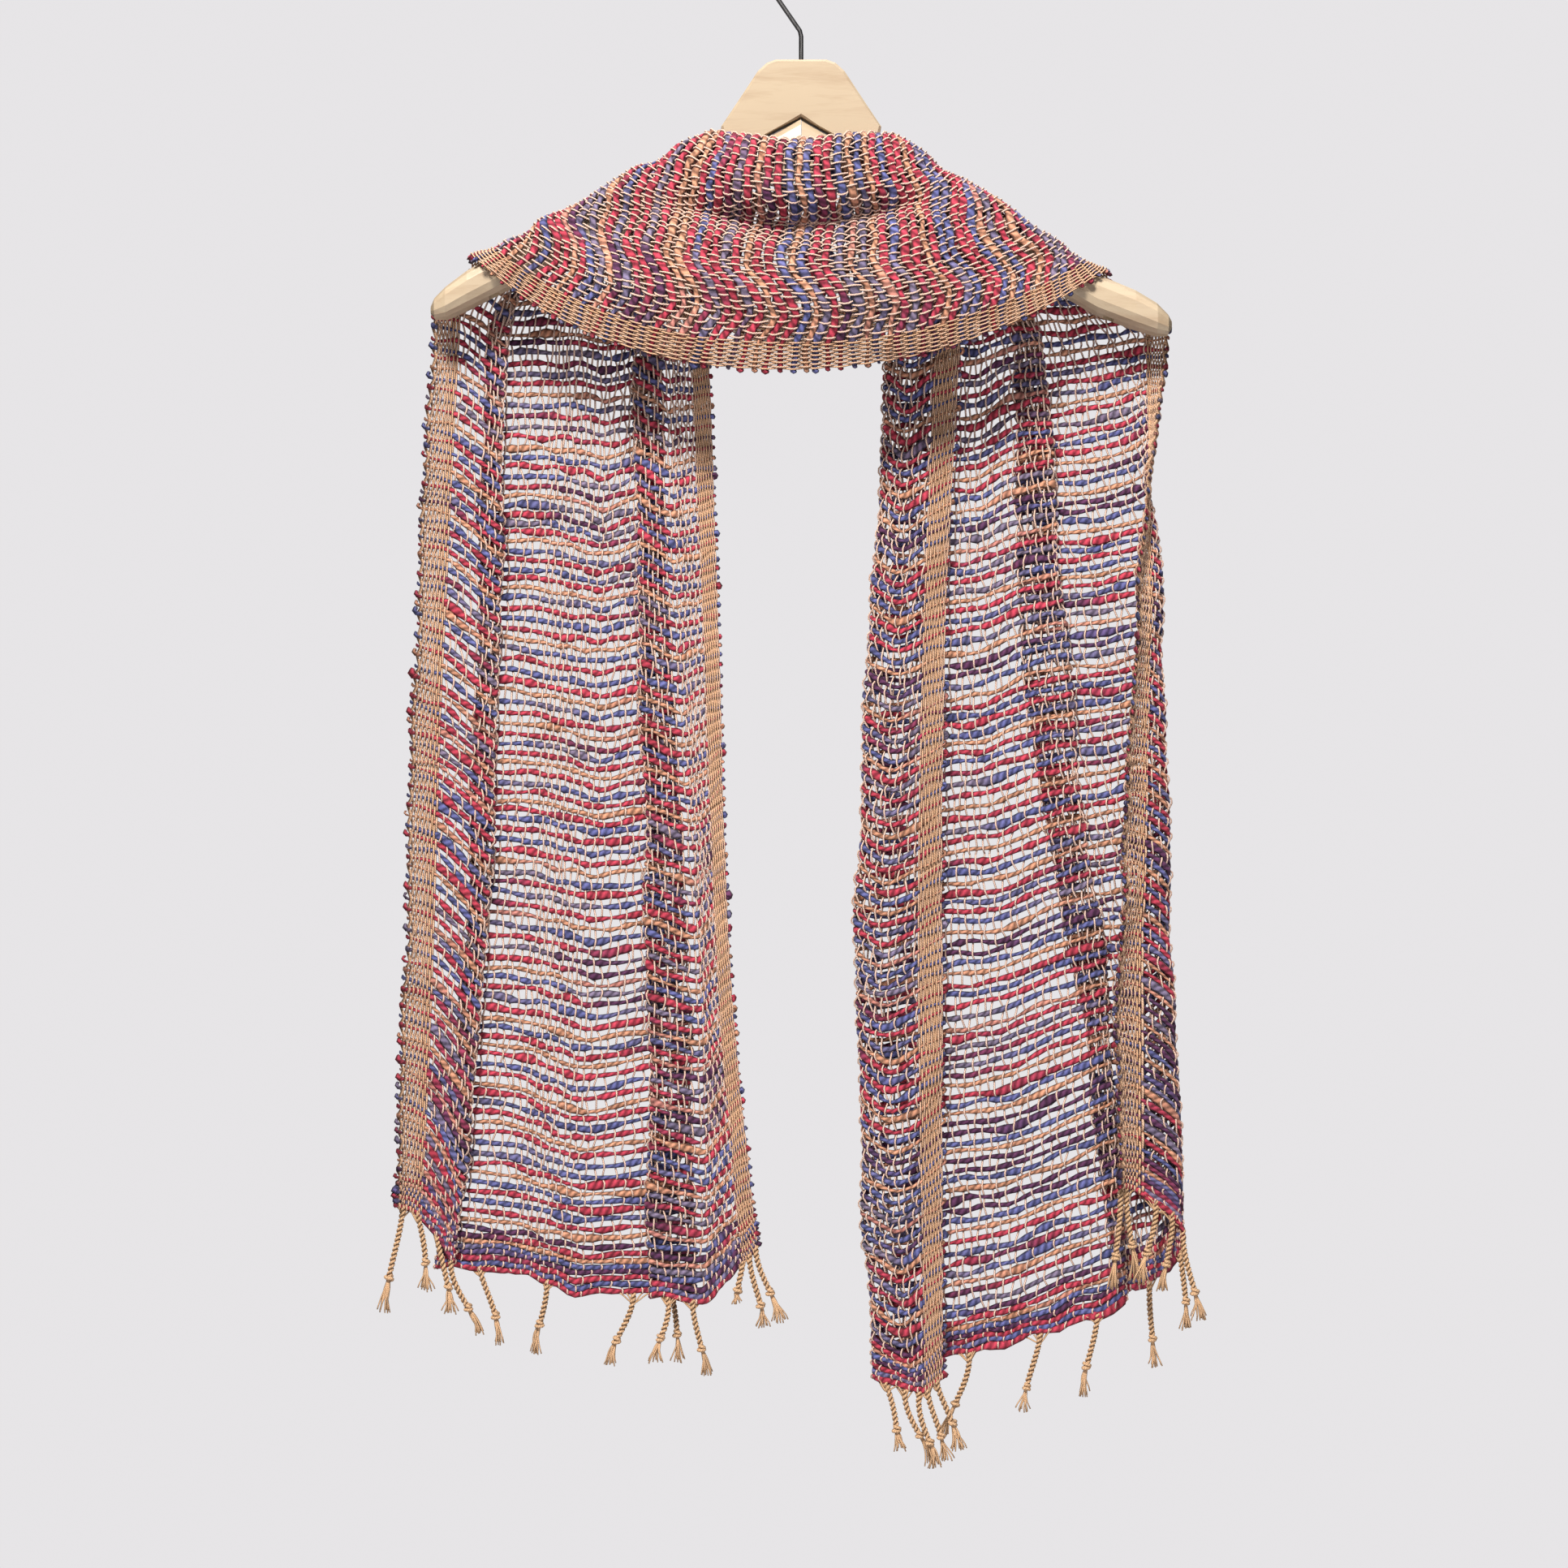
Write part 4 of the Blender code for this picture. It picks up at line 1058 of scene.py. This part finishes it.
class RebozoWeave(bpy.types.PropertyGroup):
    """Sizes of the weave"""

    weft_pitch: size_setting("Weft pitch", "Distance from one thick weft to the next in the body", 6.2)
    hem_pitch: size_setting("Hem pitch", "Distance between the packed wefts at the hems", 3.2)
    warp_width: size_setting("Warp width", "Thickness of a warp thread", 1.2)
    slub_often: bpy.props.FloatProperty(
        name="Slubs", description="Thick places in each length of weft", default=2.2, min=0.0, max=6.0)
    yarn_swing: bpy.props.FloatProperty(
        name="Uneven spinning", description="How far the weft's thickness swings", default=0.16,
        min=0.0, max=0.4, subtype="FACTOR")


class RebozoFringe(bpy.types.PropertyGroup):
    """Sizes of the fringe"""

    cord_width: size_setting("Cord width", "Thickness of a twisted tassel cord", 3.8)
    cord_twist: size_setting("Cord twist", "Length of one turn of the cord's plies", 6.0)
    tuft_ends: bpy.props.IntProperty(
        name="Tuft ends", description="Loose warp ends below each knot", default=14, min=3, max=40)


class RebozoColours(bpy.types.PropertyGroup):
    """Dyes of the yarns and colours of the hanger and the studio"""

    red: colour_setting("Red", "Cochineal red weft", "#D44A61")
    blue: colour_setting("Blue", "Violet blue weft", "#6F74B2")
    peach: colour_setting("Peach", "Peach weft", "#EBAA8A")
    plum: colour_setting("Plum", "Dark plum weft", "#6B3F66")
    grey: colour_setting("Grey", "Grey mauve weft", "#8F82A0")
    rose: colour_setting("Rose", "Rose that the peach weft drifts into", "#E0968C")
    warp: colour_setting("Warp", "Undyed cream warp", "#FBDACA")
    selvedge: colour_setting("Selvedge", "Warp of the edge bands", "#FFCDA2")
    cord: colour_setting("Cord", "Tan fringe cords", "#EEC49A")
    wood: colour_setting("Wood", "Pale face of the hanger", "#C4B297")
    grain: colour_setting("Grain", "Darker growth lines of the hanger", "#B6A085")
    wire: colour_setting("Wire", "Plated wire hook", "#8F8F90")
    floor: colour_setting("Floor", "Floor of the studio", "#EAE9EC")


# Operators: one for each step of the making.


class REBOZO_OT_weave_cloth(bpy.types.Operator):
    """Weave the shawl in six lengths, each with its wefts and warps, from hem to hem"""

    bl_idname = "rebozo.weave_cloth"
    bl_label = "Weave the cloth"

    def execute(self, context):
        sizes, colours = context.scene.rebozo_weave, context.scene.rebozo_colours
        dyes = {name: np.array(getattr(colours, name))
                for name in ("red", "blue", "peach", "plum", "grey", "rose", "warp", "selvedge")}
        warp_half = 0.5 * sizes.warp_width / MM
        plan = woven(sizes.weft_pitch / MM, sizes.hem_pitch / MM, sizes.slub_often, sizes.yarn_swing)
        weft = spun_cotton("Slub cotton weft, hand spun", 5.0, 0.5, 0.35, 0.12, 0.25)
        warp = spun_cotton("Cotton warp, fine twisted", 1.6, 0.3, 0.12, 0.1, 0.6)
        runs = cloth_surface()[2]
        for name, start, stop, node in LENGTHS:
            low, high = runs[int(start * STEPS_A_STRETCH)], runs[int(stop * STEPS_A_STRETCH)]
            first, last = np.searchsorted(plan["rows"], (low, high))
            if stop == 3.0:
                last = len(plan["rows"])
            threads = Threads()
            lay_wefts(threads, plan, int(first), int(last), dyes)
            lay_warps(threads, plan, int(first), int(last), warp_half, dyes)
            piece = threads.make(name, (weft, warp))
            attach(piece, "root")
            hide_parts(node)
        return {"FINISHED"}


class REBOZO_OT_knot_fringe(bpy.types.Operator):
    """Knot the warp ends of both hems into twisted, frayed tassels"""

    bl_idname = "rebozo.knot_fringe"
    bl_label = "Knot the fringe"

    def execute(self, context):
        sizes = context.scene.rebozo_fringe
        colour = np.array(context.scene.rebozo_colours.cord)
        cotton = spun_cotton("Cotton cord, hand twisted", 1.2, 0.3, 0.15, 0.1, 0.65)
        total = cloth_surface()[2][-1]
        for name, rows, run, seed in (("fringe_knots_left", LEFT_TASSELS, 0.0, 61),
                                      ("fringe_knots_right", RIGHT_TASSELS, total, 62)):
            rng = np.random.default_rng(seed)
            threads = Threads()
            for row in rows:
                cord = dict(zip(TASSEL_COLUMNS, row))
                root = on_cloth(np.array(float(cord["u"])), np.array(float(run)))[0]
                tie_tassel(threads, root, cord, sizes, colour, rng)
                gather_ends(threads, run, cord["u"], root, colour, rng)
            piece = threads.make(name, (cotton,))
            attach(piece, "root")
            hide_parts(name.replace("_knots", ""))
        return {"FINISHED"}


class REBOZO_OT_finish_hanger(bpy.types.Operator):
    """Give the wooden arms and crown their lacquered grain and the hook its plated steel"""

    bl_idname = "rebozo.finish_hanger"
    bl_label = "Finish the hanger"

    def execute(self, context):
        colours = context.scene.rebozo_colours
        pale, grain = tuple(colours.wood), tuple(colours.grain)
        finishes = {
            "hanger_crown": lacquered_beech("Beech crown, lacquered", pale, grain, 0.0),
            "hanger_arm_left": lacquered_beech("Beech left arm, lacquered", pale, grain, -0.42),
            "hanger_arm_right": lacquered_beech("Beech right arm, lacquered", pale, grain, 0.42),
            "hanger_hook": drawn_steel("Steel wire, drawn and plated", tuple(colours.wire)),
        }
        for name, material in finishes.items():
            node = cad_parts[name]
            for slot in node.material_slots:
                slot.material = material
        return {"FINISHED"}


class REBOZO_OT_set_studio(bpy.types.Operator):
    """Set the plain floor, the soft lights and the camera at the photograph's angle"""

    bl_idname = "rebozo.set_studio"
    bl_label = "Set the studio"

    def execute(self, context):
        scene = context.scene
        outline = ((-FLOOR_REACH, -FLOOR_REACH), (FLOOR_REACH, -FLOOR_REACH),
                   (FLOOR_REACH, FLOOR_BACK), (-FLOOR_REACH, FLOOR_BACK))
        mesh = bpy.data.meshes.new("studio_floor")
        mesh.from_pydata([(x, y, FLOOR_HEIGHT) for x, y in outline], [], [(0, 1, 2, 3)])
        paint = painted_floor("Matt floor paint, rolled", tuple(scene.rebozo_colours.floor))
        mesh.materials.append(paint)
        floor = put("studio_floor", mesh)
        world = bpy.data.worlds.new("Pale studio surround")
        world.use_nodes = True
        # The surround is seen pale, and lights the cloth more dimly so that the folds keep shade.
        sky = world.node_tree.nodes["Background"]
        rays = add_node(world.node_tree, "LightPath")
        glow = add_node(world.node_tree, "MapRange",
                        {"To Min": SURROUND_LIGHT, "To Max": SURROUND_SEEN},
                        {"Value": rays.outputs["Is Camera Ray"]})
        sky.inputs["Color"].default_value = (*linear(SURROUND_TINT), 1.0)
        plug(world.node_tree, sky, {"Strength": glow.outputs["Result"]})
        scene.world = world
        for name, place, size, power, tint in LIGHTS:
            light = bpy.data.lights.new(name, "AREA")
            light.shape, light.size, light.energy = "DISK", size, power
            light.color = linear(tint)
            lamp = put(name, light)
            lamp.location = place
            lamp.rotation_euler = (Vector(LIT_PLACE) - Vector(place)).to_track_quat("-Z", "Y").to_euler()
        camera = bpy.data.cameras.new("photo_camera")
        camera.lens, camera.sensor_width = CAMERA_LENS, CAMERA_SENSOR
        eye = put("photo_camera", camera)
        eye.location = CAMERA_PLACE
        eye.rotation_euler = (math.radians(90.0), 0.0, 0.0)
        scene.camera = eye
        scene.view_settings.view_transform = "Standard"
        return {"FINISHED"}


class REBOZO_PT_panel(bpy.types.Panel):
    """Everything the shawl is made with"""

    bl_idname = "REBOZO_PT_panel"
    bl_label = "Rebozo shawl"
    bl_space_type = "VIEW_3D"
    bl_region_type = "UI"
    bl_category = "Rebozo"

    def draw(self, context):
        for group in (getattr(context.scene, name) for name in GROUPS):
            box = self.layout.box()
            for name in group.__annotations__:
                box.prop(group, name)
        for operator in OPERATORS:
            self.layout.operator(operator.bl_idname)


OPERATORS = (REBOZO_OT_weave_cloth, REBOZO_OT_knot_fringe, REBOZO_OT_finish_hanger, REBOZO_OT_set_studio)
GROUPS = {"rebozo_weave": RebozoWeave, "rebozo_fringe": RebozoFringe, "rebozo_colours": RebozoColours}


def register():
    for kind in (*GROUPS.values(), *OPERATORS, REBOZO_PT_panel):
        bpy.utils.register_class(kind)
    for name, kind in GROUPS.items():
        setattr(bpy.types.Scene, name, bpy.props.PointerProperty(type=kind))


def unregister():
    for name in GROUPS:
        delattr(bpy.types.Scene, name)
    for kind in (REBOZO_PT_panel, *OPERATORS[::-1], *reversed(GROUPS.values())):
        bpy.utils.unregister_class(kind)


def main():
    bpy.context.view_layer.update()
    register()
    bpy.ops.rebozo.weave_cloth()
    bpy.ops.rebozo.knot_fringe()
    bpy.ops.rebozo.finish_hanger()
    bpy.ops.rebozo.set_studio()


if __name__ == "__main__":
    main()
